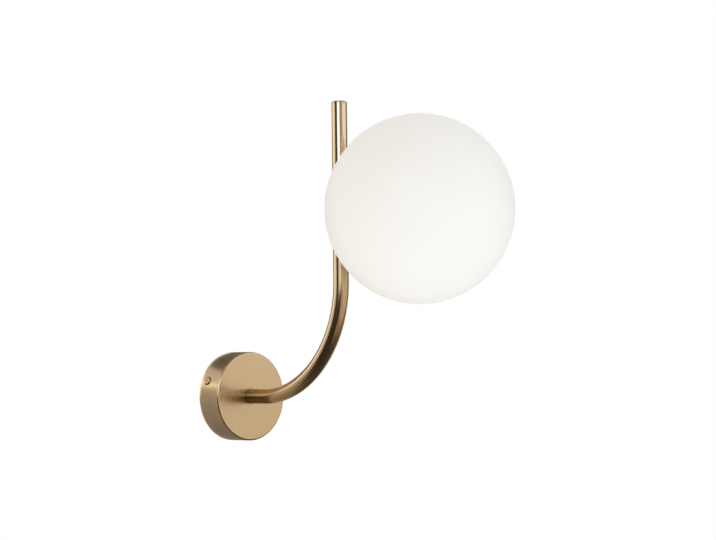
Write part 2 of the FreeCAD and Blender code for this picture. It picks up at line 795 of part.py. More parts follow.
def make_mains_leads():
    """The live and neutral leads, from the terminal block through the arm to the lampholder."""
    for name, pole, side in (("live_lead", "live", -1), ("neutral_lead", "neutral", 1)):
        offset = f"{side} * lead_offset"
        pole_x = f"{POLES[pole]} * pole_pitch"
        contact_x = f"{side} * pin_pitch / 2"
        points = [
            point(pole_x, "-barrel_axis", "-(block_top + lead_end_depth)"),
            point(pole_x, "-barrel_axis", "-(block_top - lead_straight)"),
            point(offset, "-barrel_axis", 0),
            point(offset, "-arm_reach + lead_bow", 0),
            point(offset, "-arm_reach + lead_bow", "globe_height"),
            point(offset, out("spigot_end - lead_spread_back"), "globe_height"),
            point(contact_x, out("holder_back - lead_spread_front"), "globe_height"),
            point(contact_x, out("contact_back - seat_gap"), "globe_height"),
        ]
        inner = [widest_bend(*points[index:index + 3]) for index in range(6)]
        inner[2] = value("bend_radius - lead_bow")
        inner[3] = value("lead_turn")
        solid = swept_wire(name, points, inner, value("lead_diameter / 2"))
        as_feature(name, solid)


def make_earth_lead():
    """The short earth lead between the terminal block and the tag under the locknut."""
    points = [
        point("pole_pitch", "-barrel_axis", "-(block_top + lead_end_depth)"),
        point("pole_pitch", "-barrel_axis", "-(block_top - lead_straight)"),
        point("tag_reach", "-crimp_axis", "-(crimp_length / 2 + lead_straight)"),
        point("tag_reach", "-crimp_axis", "crimp_length / 6 - seat_gap"),
    ]
    bends = [widest_bend(*points[index:index + 3]) for index in range(2)]
    as_feature("earth_lead", swept_wire("earth_lead", points, bends, value("lead_diameter / 2")))


def make_globe_spigot():
    """The hollow spigot soldered into the rod: a tail in the cross hole, a saddle collar and a thread."""
    collar = bar("spigot_collar", "spigot_collar_diameter / 2", "gallery_back",
                 0, "-arm_reach", "globe_height")
    rod_space = bar("spigot_rod_space", "tube_radius + solder_gap", "2 * spigot_collar_diameter",
                    0, "-arm_reach", "globe_height - spigot_collar_diameter", toward="+Z")
    saddle = cut("spigot_saddle", collar, rod_space)
    tail = bar("spigot_tail", "spigot_tail_diameter / 2", "gallery_back - tube_radius + spigot_tail_length",
               0, out("tube_radius - spigot_tail_length"), "globe_height")
    thread = bar("spigot_thread", "pipe_radius", "spigot_end - gallery_back",
                 0, out("gallery_back"), "globe_height")
    bore = bar("spigot_bore", "lead_bore / 2", "spigot_end", 0, "-arm_reach", "globe_height")
    return cut("globe_spigot", joined("spigot_blank", saddle, tail, thread), bore)


def make_gallery():
    """The spun brass cup that the globe's neck screws into."""
    outside = "(gallery_inside + gallery_rim)"
    cup = turned("gallery", [
        ("pipe_hole", "-gallery_back"), (f"{outside} - gallery_lip", "-gallery_back"),
        (outside, "-(gallery_back + gallery_lip)"), (outside, "-globe_pole"),
        ("gallery_inside", "-globe_pole"), ("gallery_inside", "-gallery_face"),
        ("pipe_hole", "-gallery_face"),
    ])
    at_globe_axis(cup)
    washer = ring("gallery_washer", "pipe_hole", "pipe_hole + washer_width",
                  "gallery_face", "flat_washer_front")
    at_globe_axis(washer)
    at_globe_axis(hex_nut("gallery_nut", "flat_washer_front", "pipe_radius + solder_gap"))


def make_globe():
    """The opal glass globe with its short neck towards the rod, and the gasket under the neck."""
    neck_run = "globe_reach - gasket_front - globe_radius / 2"
    ball = doc.addObject("Part::Sphere", "globe_ball")
    bind(ball, Radius="globe_radius")
    place(ball, 0, out("globe_reach"), "globe_height")
    neck = bar("globe_neck", "neck_radius", neck_run, 0, out("gasket_front"), "globe_height")
    hollow = doc.addObject("Part::Sphere", "globe_hollow")
    bind(hollow, Radius="globe_radius - globe_wall")
    place(hollow, 0, out("globe_reach"), "globe_height")
    mouth = bar("globe_mouth", "neck_inside", neck_run, 0, out("gasket_front"), "globe_height")
    cut("globe", joined("globe_outside", ball, neck), joined("globe_inside", hollow, mouth))
    gasket = ring("globe_gasket", "neck_inside + gasket_inset", "gallery_inside - seat_gap",
                  "gallery_face", "gasket_front")
    at_globe_axis(gasket)


def make_holder_bracket():
    """The steel strap bent to a U that carries the lampholder, under its own thin nut."""
    half = "(holder_radius + bracket_sheet)"
    base = block("bracket_base", f"2 * {half}", "bracket_sheet", "bracket_width",
                 f"-{half}", out("bracket_front"), "globe_height - bracket_width / 2")
    legs = [
        block(f"bracket_leg_{side}", "bracket_sheet", "bracket_leg_end - gallery_nut_front",
              "bracket_width", edge, out("bracket_leg_end"), "globe_height - bracket_width / 2")
        for side, edge in (("left", f"-{half}"), ("right", "holder_radius"))
    ]
    stud_hole = bar("bracket_stud_hole", "pipe_hole", "2 * bracket_sheet",
                    0, out("gallery_nut_front"), "globe_height")
    screw_way = bar("bracket_screw_way", "holder_screw_thread / 2 + hole_gap", f"2 * {half}",
                    f"-{half}", out("holder_screw_out"), "globe_height", toward="+X")
    cut("lampholder_bracket", joined("bracket_blank", base, *legs), stud_hole, screw_way)
    at_globe_axis(hex_nut("bracket_nut", "bracket_front", "pipe_radius + solder_gap"))


def make_lampholder():
    """The round ceramic lampholder: two contact slots in front, two lead holes behind, two side tappings."""
    blank = bar("holder_blank", "holder_radius - solder_gap", "holder_length",
                0, out("holder_back"), "globe_height")
    tools = []
    for side, sign in (("left", -1), ("right", 1)):
        middle = f"{sign} * pin_pitch / 2"
        tools.append(block(f"holder_slot_{side}", "holder_slot_width", "contact_length + contact_room",
                           "contact_width + 2 * hole_gap", f"{middle} - holder_slot_width / 2",
                           out("holder_front"), "globe_height - contact_width / 2 - hole_gap"))
        tools.append(bar(f"holder_lead_way_{side}", "lead_hole + hole_gap", "contact_back - holder_back",
                         middle, out("holder_back"), "globe_height"))
        tools.append(bar(f"holder_tapping_{side}", "holder_screw_thread / 2 + thread_gap",
                         "holder_screw_depth", f"{sign} * holder_radius", out("holder_screw_out"),
                         "globe_height", toward="-X" if sign > 0 else "+X"))
    return cut("lampholder_body", blank, *tools)


def make_contacts():
    """The two sprung contacts, each a channel that grips one pin of the bulb."""
    channel = "(pin_wire + 2 * seat_gap)"
    contacts = []
    for side, sign in (("left", -1), ("right", 1)):
        middle = f"{sign} * pin_pitch / 2"
        width = f"({channel} + 2 * contact_sheet)"
        blank = block(f"contact_blank_{side}", width, "contact_length", "contact_width",
                      f"{middle} - {width} / 2", out("contact_front"), "globe_height - contact_width / 2")
        groove = block(f"contact_groove_{side}", channel, "contact_length - contact_sheet",
                       "contact_width", f"{middle} - {channel} / 2", out("contact_front"),
                       "globe_height - contact_width / 2")
        contacts.append(cut(f"contact_{side}", blank, groove))
    return gathered("lampholder_contacts", *contacts)


def make_holder_screws():
    """The two screws through the bracket's legs into the lampholder's sides."""
    screws = []
    for side, sign, toward in (("left", -1, "+X"), ("right", 1, "-X")):
        seat = f"{sign} * (holder_radius + bracket_sheet)"
        head = bar(f"holder_screw_top_{side}", "holder_screw_head / 2", "holder_screw_head_height",
                   f"{seat} + {sign} * holder_screw_head_height", out("holder_screw_out"),
                   "globe_height", toward=toward)
        shank = bar(f"holder_screw_shank_{side}", "holder_screw_thread / 2", "holder_screw_length",
                    seat, out("holder_screw_out"), "globe_height", toward=toward)
        screws.append(joined(f"holder_screw_{side}", head, shank))
    return gathered("lampholder_screws", *screws)


# the share of a pin loop's half width that its two bends take
LOOP_BEND = 0.9


def make_bulb():
    """The plug-in capsule bulb: base block, two pin loops, clear dome and the core of diodes inside."""
    across = "bulb_base_width / 2"
    deep = "bulb_base_thickness / 2"
    corner = "bulb_base_edge"
    outline = []
    for x_sign, z_sign in ((1, 1), (-1, 1), (-1, -1), (1, -1)):
        side = (f"{x_sign} * {across}", f"{z_sign} * ({deep} - {corner})")
        top = (f"{x_sign} * ({across} - {corner})", f"{z_sign} * {deep}")
        outline += [side, top] if x_sign * z_sign > 0 else [top, side]
    foot = at_globe_axis(padded("bulb_base_block", "bulb_base_length", "bulb_back", outline))
    collar = bar("bulb_base_collar", "bulb_radius", "bulb_collar_length", 0, out("bulb_neck"), "globe_height")
    joined("bulb_base", foot, collar)
    loops = []
    half = value("(pin_loop_width - pin_wire) / 2")
    for side, sign in (("left", -1), ("right", 1)):
        x = value(f"{sign} * pin_pitch / 2")
        near = value(out("bulb_back"))
        far = value(out("pin_tip"))
        z = value("globe_height")
        points = [V(x, near, z - half), V(x, far, z - half), V(x, far, z + half), V(x, near, z + half)]
        loop = swept_wire(f"pin_{side}", points, [half * LOOP_BEND] * 2, value("pin_wire / 2"))
        loops.append(as_feature(f"pin_{side}", loop))
    gathered("bulb_pins", *loops)
    dome_middle = "(bulb_shoulder + bulb_length - bulb_radius)"
    skins = []
    for layer, radius in (("outer", "bulb_radius"), ("inner", "(bulb_radius - bulb_wall)")):
        side = bar(f"bulb_side_{layer}", radius, f"{dome_middle} - bulb_shoulder",
                   0, out("bulb_shoulder"), "globe_height")
        tip = doc.addObject("Part::Sphere", f"bulb_tip_{layer}")
        bind(tip, Radius=radius)
        place(tip, 0, out(dome_middle), "globe_height")
        skins.append(joined(f"bulb_skin_{layer}", side, tip))
    cut("bulb_dome", *skins)
    core = ring("bulb_core", 0, "core_diameter / 2", "bulb_shoulder", "bulb_shoulder + core_length")
    at_globe_axis(core)


NODES = [
    "wall_plate", "cable_bush", "earth_washer", "earth_screw",
    "canopy", "canopy_bosses", "side_screw_left", "side_screw_right",
    "arm_tube", "arm_end_cap", "arm_foot", "arm_lock_washer", "arm_locknut",
    "terminal_strap", "earth_tag", "terminal_block", "terminal_barrels", "terminal_screws", "block_screw",
    "live_lead", "neutral_lead", "earth_lead",
    "globe_spigot", "gallery", "gallery_washer", "gallery_nut", "globe_gasket", "globe",
    "lampholder_bracket", "bracket_nut", "lampholder_body", "lampholder_contacts", "lampholder_screws",
    "bulb_base", "bulb_pins", "bulb_dome", "bulb_core",
]


def write_parts():
    """Check every object and write each node's own file."""
    doc.recompute()
    failed = [item.Label for item in doc.Objects if "Invalid" in item.State or "Error" in item.State]
    if failed:
        raise ValueError(f"objects that failed: {failed}")
    nodes = {item.Label: item for item in doc.Objects if item.Label in NODES}
    for name in NODES:
        shape = nodes[name].Shape
        if shape.isNull() or not shape.isValid() or not shape.Solids:
            raise ValueError(f"{name} has no sound solid")
    os.makedirs("parts", exist_ok=True)
    for name in NODES:
        shape = nodes[name].Shape
        shape.exportStep(f"parts/{name}.step")
        box = shape.optimalBoundingBox(False)
        print(f"{name}: {len(shape.Solids)} solid, {shape.Volume:.0f} mm3, "
              f"X {box.XMin:.1f}..{box.XMax:.1f} Y {box.YMin:.1f}..{box.YMax:.1f} "
              f"Z {box.ZMin:.1f}..{box.ZMax:.1f}")


fill_sheet()
make_wall_plate()
make_cable_bush()
make_earth_screw()
make_canopy()
make_canopy_bosses()
make_side_screws()
make_arm_tube()
make_arm_end_cap()
make_arm_foot()
make_arm_stack()
make_terminal_strap()
make_earth_tag()
make_terminal_block()
make_terminal_barrels()
make_terminal_screws()
make_mains_leads()
make_earth_lead()
make_globe_spigot()
make_gallery()
make_globe()
make_holder_bracket()
make_lampholder()
make_contacts()
make_holder_screws()
make_bulb()
write_parts()
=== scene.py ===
# %% [markdown]
# # A globe wall sconce in satin brass and opal glass
# This wall light has a round brass canopy, one bent brass arm and a white glass globe. The CAD model
# already holds every piece at its real size and place, and this script dresses it. Smooth meshes stand
# for most pieces, a few keep their CAD shape, and every surface gets a finish made from shader nodes.
# The frame is loaded first, because everything else is placed by it.

# %% Load the CAD frame
import json
import math

import bmesh
import bpy
from mathutils import Matrix, Vector


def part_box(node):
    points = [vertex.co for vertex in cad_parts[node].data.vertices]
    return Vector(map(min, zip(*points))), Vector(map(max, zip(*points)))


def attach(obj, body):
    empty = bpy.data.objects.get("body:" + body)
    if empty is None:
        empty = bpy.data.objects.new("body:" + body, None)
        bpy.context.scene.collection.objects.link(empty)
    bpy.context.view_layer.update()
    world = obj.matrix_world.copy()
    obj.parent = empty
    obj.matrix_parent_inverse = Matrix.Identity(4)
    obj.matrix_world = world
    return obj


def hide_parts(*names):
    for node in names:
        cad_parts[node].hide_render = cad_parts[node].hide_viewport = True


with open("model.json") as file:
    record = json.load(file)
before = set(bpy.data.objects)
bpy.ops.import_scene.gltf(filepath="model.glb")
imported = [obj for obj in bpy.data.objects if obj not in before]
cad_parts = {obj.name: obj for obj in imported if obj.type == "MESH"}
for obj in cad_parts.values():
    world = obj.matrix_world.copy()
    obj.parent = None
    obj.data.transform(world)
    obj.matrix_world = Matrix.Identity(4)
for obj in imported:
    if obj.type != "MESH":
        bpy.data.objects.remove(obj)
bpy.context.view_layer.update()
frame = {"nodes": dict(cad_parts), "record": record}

MM = 0.001

# %% [markdown]
# ## The camera
# A camera can be aimed by eye, but a photograph can be matched exactly when one point of it is known.
# Here that is the middle of the canopy's face. The camera is turned first, and then moved back until
# the point lands on its pixel. The long lens keeps the rod nearly as wide at its top as at its foot.

# %% Stand the camera to the left of the lamp
PHOTO_WIDTH = 716
PHOTO_HEIGHT = 540
SENSOR_WIDTH = 36.0
FOCAL_PIXELS = 2245.6
CAMERA_AZIMUTH = math.radians(-44.39)
CAMERA_ELEVATION = math.radians(-2.37)
CAMERA_ROLL = math.radians(-0.62)
CAMERA_DISTANCE = 2.5368
FACE_MIDDLE_PIXEL = (251.34, 396.17)


def looking_back(azimuth, elevation):
    """The way from the lamp to an eye, with azimuth 0 in front of the wall and positive to the right."""
    level = math.cos(elevation)
    return Vector((math.sin(azimuth) * level, -math.cos(azimuth) * level, math.sin(elevation)))


back = looking_back(CAMERA_AZIMUTH, CAMERA_ELEVATION)
level_right = Vector((0, 0, 1)).cross(back).normalized()
level_up = back.cross(level_right)
right = level_right * math.cos(CAMERA_ROLL) + level_up * math.sin(CAMERA_ROLL)
turn = Matrix((right, back.cross(right), back)).transposed()
across = (FACE_MIDDLE_PIXEL[0] - PHOTO_WIDTH / 2) / FOCAL_PIXELS
down = (FACE_MIDDLE_PIXEL[1] - PHOTO_HEIGHT / 2) / FOCAL_PIXELS
seen = Vector((across, -down, -1)) * CAMERA_DISTANCE
face_middle = Vector((0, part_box("canopy")[0].y, 0))

lens = bpy.data.cameras.new("photo_camera")
lens.sensor_width = SENSOR_WIDTH
lens.lens = FOCAL_PIXELS * SENSOR_WIDTH / PHOTO_WIDTH
camera = bpy.data.objects.new("photo_camera", lens)
camera.matrix_world = Matrix.Translation(face_middle - turn @ seen) @ turn.to_4x4()
bpy.context.scene.collection.objects.link(camera)
bpy.context.scene.camera = camera
print("camera at", [round(number, 3) for number in camera.matrix_world.translation])

# %% [markdown]
# ## Small helpers for shader nodes
# Every finish below is a little network of nodes, and adding one node takes several lines of Python.
# A few helpers keep the networks short enough to read. An input is given either a plain value, which
# is set on the socket, or another node's output, which is wired to it.

# %% Add nodes, and start and end a finish
FINISHES = {}


def set_socket(tree, socket, value):
    """Give a socket a plain value, or wire another node's output to it."""
    if isinstance(value, bpy.types.NodeSocket):
        tree.links.new(value, socket)
    else:
        socket.default_value = value


def add_node(tree, kind, settings=None, **inputs):
    """Add one node, choose its settings, and fill its inputs by their names."""
    node = tree.nodes.new("ShaderNode" + kind)
    for name, choice in (settings or {}).items():
        setattr(node, name, choice)
    for name, value in inputs.items():
        set_socket(tree, node.inputs[name.replace("_", " ")], value)
    return node


def add_sum(tree, operation, *terms, kind="Math", output="Value"):
    """Add one Math or Vector Math node and give back its result."""
    node = add_node(tree, kind, {"operation": operation})
    for socket, term in zip(node.inputs, terms):
        set_socket(tree, socket, term)
    return node.outputs[output]


def add_blend(tree, share, first, second):
    """Mix two colours by a share from 0 to 1."""
    node = add_node(tree, "Mix", {"data_type": "RGBA"}, Factor=share)
    set_socket(tree, node.inputs[6], first)
    set_socket(tree, node.inputs[7], second)
    return node.outputs[2]


def add_range(tree, value, low, high, new_low, new_high):
    """Stretch a value from one range to another, without going past its ends."""
    ends = {"From_Min": low, "From_Max": high, "To_Min": new_low, "To_Max": new_high}
    return add_node(tree, "MapRange", None, Value=value, **ends).outputs[0]


def add_noise(tree, place, scale, detail=2.0, roughness=0.5):
    """Soft noise between 0 and 1, with a scale in cells per metre."""
    node = add_node(tree, "TexNoise", None, Vector=place, Scale=scale, Detail=detail, Roughness=roughness)
    return node.outputs["Fac"]


def spread(tree, noise, low, high, margin=0.3):
    """Stretch noise, whose values crowd the middle, over a whole range."""
    return add_range(tree, noise, margin, 1 - margin, low, high)


def own_place(tree):
    """Where a point lies in its own object, in metres."""
    return add_node(tree, "TexCoord").outputs["Object"]


def parts_of(tree, vector):
    """A vector's X, Y and Z."""
    return add_node(tree, "SeparateXYZ", None, Vector=vector).outputs


def new_finish(name):
    """The node tree of a new material, which FINISHES keeps by its name."""
    FINISHES[name] = bpy.data.materials.new(name)
    FINISHES[name].use_nodes = True
    return FINISHES[name].node_tree


def end_finish(tree, colour, roughness, height=None, depth=0.0, **even):
    """Give the shader a colour, a roughness, a bump of some metres, and what is even all over."""
    shader = tree.nodes["Principled BSDF"]
    set_socket(tree, shader.inputs["Base Color"], colour)
    set_socket(tree, shader.inputs["Roughness"], roughness)
    for name, value in even.items():
        shader.inputs[name.replace("_", " ")].default_value = value
    if depth:
        bump = add_node(tree, "Bump", None, Height=height, Strength=1.0, Distance=depth)
        tree.links.new(bump.outputs[0], shader.inputs["Normal"])


# %% [markdown]
# ## The studio
# The lamp stands against pure white in soft, even light, which the world gives. For the camera, for
# mirrors and through glass it is plain white. For diffuse light it is a little weaker, and warmer from
# the left, so that white glass keeps some shade of its own. The Light Path node tells these rays
# apart. A pale floor lies well below the lamp and takes its faint shadow.

# %% Light the world and lay the floor
DIFFUSE_SKY = (0.948, 0.936, 0.912, 1)
WARM_SIDE = (0.930, 0.880, 0.800, 1)
WARMTH_STARTS = -0.2
LEFT = (-0.715, 0.699, 0.0)
WHITE = (1, 1, 1, 1)
FLOOR_HEIGHT = -1.5
FLOOR_SIZE = 8.0
FLOOR_TONES = ((0.90, 0.90, 0.90, 1), (0.93, 0.93, 0.93, 1))
FLOOR_MOTTLE = 3.0
FLOOR_ROUGHNESS = 0.9


def new_thing(name, mesh, *paints):
    """Turn a bmesh into an object of the scene."""
    data = bpy.data.meshes.new(name)
    mesh.to_mesh(data)
    mesh.free()
    for paint in paints:
        data.materials.append(paint)
    thing = bpy.data.objects.new(name, data)
    bpy.context.scene.collection.objects.link(thing)
    return thing


def flat_sheet(width, height):
    """A rectangle about its own origin, facing its own +Z."""
    sheet = bmesh.new()
    corners = [(-1, -1), (1, -1), (1, 1), (-1, 1)]
    sheet.faces.new([sheet.verts.new((x * width / 2, y * height / 2, 0)) for x, y in corners])
    return sheet


world = bpy.data.worlds.new("white_studio")
world.use_nodes = True
tree = world.node_tree
rays = add_node(tree, "LightPath").outputs
sharp = add_sum(tree, "MAXIMUM", rays["Is Glossy Ray"], rays["Is Transmission Ray"])
direct = add_sum(tree, "MAXIMUM", rays["Is Camera Ray"], sharp)
heading = add_node(tree, "TexCoord").outputs["Generated"]
leftward = add_sum(tree, "DOT_PRODUCT", heading, LEFT, kind="VectorMath")
warmth = add_range(tree, leftward, WARMTH_STARTS, 1.0, 0.0, 1.0)
sky = add_blend(tree, warmth, DIFFUSE_SKY, WARM_SIDE)
tree.links.new(add_blend(tree, direct, sky, WHITE), tree.nodes["Background"].inputs["Color"])
bpy.context.scene.world = world

tree = new_finish("pale_floor")
mottle = add_noise(tree, own_place(tree), FLOOR_MOTTLE)
end_finish(tree, add_blend(tree, mottle, *FLOOR_TONES), FLOOR_ROUGHNESS)
floor = new_thing("studio_floor", flat_sheet(FLOOR_SIZE, FLOOR_SIZE), FINISHES["pale_floor"])
floor.location.z = FLOOR_HEIGHT
bpy.context.scene.view_settings.view_transform = "Standard"
print("floor at", FLOOR_HEIGHT, "m")

# %% [markdown]
# ## What the brass mirrors
# Satin brass has little colour of its own under white light: its shape is drawn by what it mirrors.
# A photographer puts a softbox and dark, grey and white boards around a polished tube, and each one
# becomes a streak along it. A round rod turns a board's direction into a place across its width, so
# each streak of the photograph tells where its board stood. A board glows evenly, with a level where
# 1 is white, and is seen only in reflections, so it neither lights nor hides the lamp. White boards
# are a little blue, like daylight, and dark ones a little brown, like wood.

# %% Stand the boards around the lamp
LAMP_MIDDLE = Vector((0, -0.18, 0.15))
DAYLIGHT = (0.96, 1.02, 1.14, 1)
COOL_LAMP = (0.86, 1.08, 1.50, 1)
WOOD = (1.12, 0.97, 0.76, 1)
BOARDS = {
    # name: tint, level, span of azimuths, span of elevations, distance
    "softbox": (COOL_LAMP, 2.75, (-28, -1.5), (4, 34)),
    "black_board": (WOOD, 0.06, (-69, -35.5), (-8, 36)),
    "low_black_board": (WOOD, 0.03, (-73, 8), (-44, -6), 1.2),
    "lowest_black_board": (WOOD, 0.04, (-54, 0), (-74, -42), 1.1),
    "rear_black_board": (WOOD, 0.07, (98, 162), (-68, -44), 1.1),
    "rear_brown_board": (WOOD, 0.14, (100, 136), (-43, -22), 1.2),
    "grey_board": (WHITE, 0.48, (1, 40), (-18, 30)),
    "upper_grey_board": (WHITE, 0.20, (2, 104), (28, 64), 2.4),
    "right_white_board": (DAYLIGHT, 1.26, (46, 102), (3, 29)),
    "right_wood_board": (WOOD, 0.72, (42, 74), (-18, 2), 2.3),
    "right_floor_board": (WOOD, 0.62, (30, 92), (-32, -18), 2.2),
    "right_grey_board": (WHITE, 0.72, (74, 112), (-18, 0.5), 2.3),
    "right_edge_board": (WHITE, 0.20, (110, 138), (-25, 30)),
    "rear_board": (WOOD, 0.45, (138, 196), (-26, 12), 2.4),
    "left_edge_board": (WOOD, 0.12, (-158, -129), (-6, 13)),
    "left_upper_board": (WHITE, 0.70, (-158, -122), (13, 36)),
    "left_grey_board": (WHITE, 0.62, (-129, -121), (-4, 13)),
    "left_white_board": (DAYLIGHT, 1.45, (-121, -87), (-1, 32)),
    "left_low_board": (WHITE, 0.52, (-131, -80), (-20, -3)),
}


def hang_board(name, sheet, tint, level_of, place):
    """Place a glowing board that only reflections show. A rule gives its level."""
    tree = new_finish(name)
    tree.nodes.remove(tree.nodes["Principled BSDF"])
    glow = add_node(tree, "Emission", None, Color=tint, Strength=level_of(tree))
    tree.links.new(glow.outputs[0], tree.nodes["Material Output"].inputs["Surface"])
    board = new_thing(name, sheet, FINISHES[name])
    board.matrix_world = place
    for ray in ("camera", "diffuse", "transmission", "volume_scatter", "shadow"):
        setattr(board, "visible_" + ray, False)


def facing_lamp(azimuth, elevation, distance):
    """Where something stands that faces the lamp, with azimuth 0 at the camera."""
    away = looking_back(CAMERA_AZIMUTH + math.radians(azimuth), math.radians(elevation))
    turn = away.to_track_quat("Z", "Y").to_matrix().to_4x4()
    return Matrix.Translation(LAMP_MIDDLE + away * distance) @ turn


def stand_board(name, tint, level, azimuths, elevations, distance=2.0):
    """A board that fills a span of azimuths and elevations, in degrees, seen from the lamp."""
    spans = (azimuths[1] - azimuths[0], elevations[1] - elevations[0])
    width, height = (2 * distance * math.tan(math.radians(span) / 2) for span in spans)
    place = facing_lamp(sum(azimuths) / 2, sum(elevations) / 2, distance)
    hang_board(name, flat_sheet(width, height), tint, lambda tree: level, place)
    print(f"{name}: level {level}, {width:.2f} by {height:.2f} m")


for name, placing in BOARDS.items():
    stand_board(name, *placing)

# %% [markdown]
# ## The floor, the ceiling and the wall in the brass
# The underside of the bend mirrors a dark floor that grows lighter towards the horizon, the upper side
# mirrors a dim ceiling, and the canopy's side mirrors the wall behind it, which is brightest a little
# above the canopy's middle. One even board cannot give such gradients. So round boards lie under and
# over the lamp, with a level that depends on the distance from the middle, and a ring lies on the
# wall, with a level that depends on height. A ColorRamp node turns a number into a level.

# %% Lay the three round boards
RING_STEPS = 96
ACROSS = Vector((1, 0, 0))
FLOOR_MIDDLE = LAMP_MIDDLE + Vector((0.29, -0.40, -1.3))
CEILING_MIDDLE = LAMP_MIDDLE + Vector((0, 0, 1.8))
FLOOR_LEVELS = [
    (0.0, 0.05), (0.6, 0.07), (0.85, 0.14), (1.1, 0.27), (1.5, 0.32), (1.9, 0.36), (2.5, 0.41), (4.0, 0.48),
]
CEILING_LEVELS = [(0.0, 0.30), (1.5, 0.32), (2.6, 0.60)]
WALL_LEVELS = [
    (-1.0, 0.22), (-0.87, 0.22), (-0.64, 0.28), (-0.29, 0.31), (-0.05, 0.38), (0.09, 0.42), (0.19, 0.55),
    (0.33, 1.20), (0.44, 0.70), (0.67, 0.63), (0.77, 0.18), (0.90, 0.11), (1.0, 0.14),
]


def level_ramp(tree, value, stops):
    """A level that follows a value through (value, level) stops."""
    low, high = stops[0][0], stops[-1][0]
    node = add_node(tree, "ValToRGB", None, Fac=add_range(tree, value, low, high, 0.0, 1.0))
    points = node.color_ramp.elements
    while len(points) < len(stops):
        points.new(0.5)
    for point, (place, level) in zip(points, stops):
        point.position = (place - low) / (high - low)
        point.color = (level, level, level, 1)
    return add_node(tree, "RGBToBW", None, Color=node.outputs["Color"]).outputs[0]


def by_distance(stops):
    """A rule that reads the level by a point's distance to the board's middle."""
    return lambda tree: level_ramp(tree, add_sum(tree, "LENGTH", own_place(tree), kind="VectorMath"), stops)


def wall_level(tree):
    """A rule that reads the level by how high a point lies round the canopy, from -1 to 1."""
    way = add_sum(tree, "NORMALIZE", own_place(tree), kind="VectorMath", output="Vector")
    return level_ramp(tree, parts_of(tree, way)["Y"], WALL_LEVELS)


def ring_of(mesh, middle, across, upright, radius, steps):
    """One ring of vertices, or a single vertex where the radius is nothing."""
    if radius < 1e-6:
        return [mesh.verts.new(middle)]
    turns = [2 * math.pi * step / steps for step in range(steps)]
    spokes = [across * math.cos(turn) + upright * math.sin(turn) for turn in turns]
    return [mesh.verts.new(middle + spoke * radius) for spoke in spokes]


def skin(mesh, rings, closed=False, capped=False):
    """Join each ring to the next with faces. Capped closes the ends of a bar."""
    following = rings[1:] + rings[:1] if closed else rings[1:]
    for low, high in zip(rings, following):
        for step in range(max(len(low), len(high))):
            corners = [low[step % len(low)], low[(step + 1) % len(low)]]
            corners += [high[(step + 1) % len(high)], high[step % len(high)]]
            mesh.faces.new(list(dict.fromkeys(corners)))
    if capped:
        mesh.faces.new(rings[0])
        mesh.faces.new(rings[-1])
    bmesh.ops.recalc_face_normals(mesh, faces=mesh.faces)


ROUND_BOARDS = {
    # name: tint, rule for the level, inner and outer radius, place
    "floor_board": (WOOD, by_distance(FLOOR_LEVELS), (0.01, 4.0), Matrix.Translation(FLOOR_MIDDLE)),
    "ceiling_board": (WHITE, by_distance(CEILING_LEVELS), (0.01, 2.6), Matrix.Translation(CEILING_MIDDLE)),
    "wall_board": (WHITE, wall_level, (0.052, 0.082), Matrix.Rotation(math.pi / 2, 4, "X")),
}
for name, (tint, rule, radii, place) in ROUND_BOARDS.items():
    sheet = bmesh.new()
    skin(sheet, [ring_of(sheet, Vector(), ACROSS, Vector((0, 1, 0)), radius, RING_STEPS) for radius in radii])
    hang_board(name, sheet, tint, rule, place)
    print(f"{name}: {2 * radii[1]:.2f} m across")

# %% [markdown]
# ## The lamps that model the globe
# Even light alone would make the globe a flat disc. A large soft lamp low on the right gives it its
# gentle turn from cream at the upper left to white at the lower right. A weaker one shines up from
# below, as a pale floor would, so that the globe's underside stays light. Both are area lamps, because
# a large lamp casts no hard shadow. They stay out of reflections, where the boards do the work.

# %% Hang the soft lamps
LAMP_TINT = (0.93, 0.98, 1.0)


def hang_lamp(name, azimuth, elevation, size, power, distance):
    """A rectangular area lamp that faces the lamp on the wall."""
    light = bpy.data.lights.new(name, "AREA")
    light.shape = "RECTANGLE"
    light.size, light.size_y = size
    light.energy = power
    light.color = LAMP_TINT
    lamp = bpy.data.objects.new(name, light)
    lamp.matrix_world = facing_lamp(azimuth, elevation, distance)
    lamp.visible_camera = False
    lamp.visible_glossy = False
    bpy.context.scene.collection.objects.link(lamp)
    print(f"{name}: {power} W at {distance} m")


hang_lamp("soft_lamp", azimuth=20, elevation=-44, size=(1.8, 1.6), power=10.2, distance=2.2)
hang_lamp("floor_glow", azimuth=0, elevation=-80, size=(1.6, 1.6), power=2.1, distance=1.4)

# %% [markdown]
# ## Making meshes
# Nearly every piece is turned on a lathe, bent from tube, or cut from sheet. A turned piece is an
# outline swept about an axis, so one helper makes them all. Real edges are never sharp: a corner of an
# outline may carry a fillet, and a cut edge gets a small bevel, because that narrow rounded band is
# what catches the light. All of these helpers count in millimetres.

# %% Round the corners of an outline
FILLET_STEPS = 6


def rounded(corners, closed=True):
    """An outline from (radius, along, fillet) corners, with an arc at each corner that has a fillet."""
    outline = []
    last = len(corners) - 1
    for index, (radius, along, fillet) in enumerate(corners):
        here = Vector((radius, along))
        if not fillet or (not closed and index in (0, last)):
            outline.append(here)
            continue
        inward = (Vector(corners[index - 1][:2]) - here).normalized()
        onward = (Vector(corners[(index + 1) % len(corners)][:2]) - here).normalized()
        half = inward.angle(onward) / 2
        middle = here + (inward + onward).normalized() * fillet / math.sin(half)
        first = here + inward * fillet / math.tan(half) - middle
        second = here + onward * fillet / math.tan(half) - middle
        swing = math.pi - 2 * half
        for step in range(FILLET_STEPS + 1):
            share = step / FILLET_STEPS
            leg = first * math.sin((1 - share) * swing) + second * math.sin(share * swing)
            outline.append(middle + leg / math.sin(swing))
    return outline


# %% Turn an outline about an axis
OUT_OF_WALL = (0, -1, 0)
WALL_MIDDLE = (0, 0, 0)


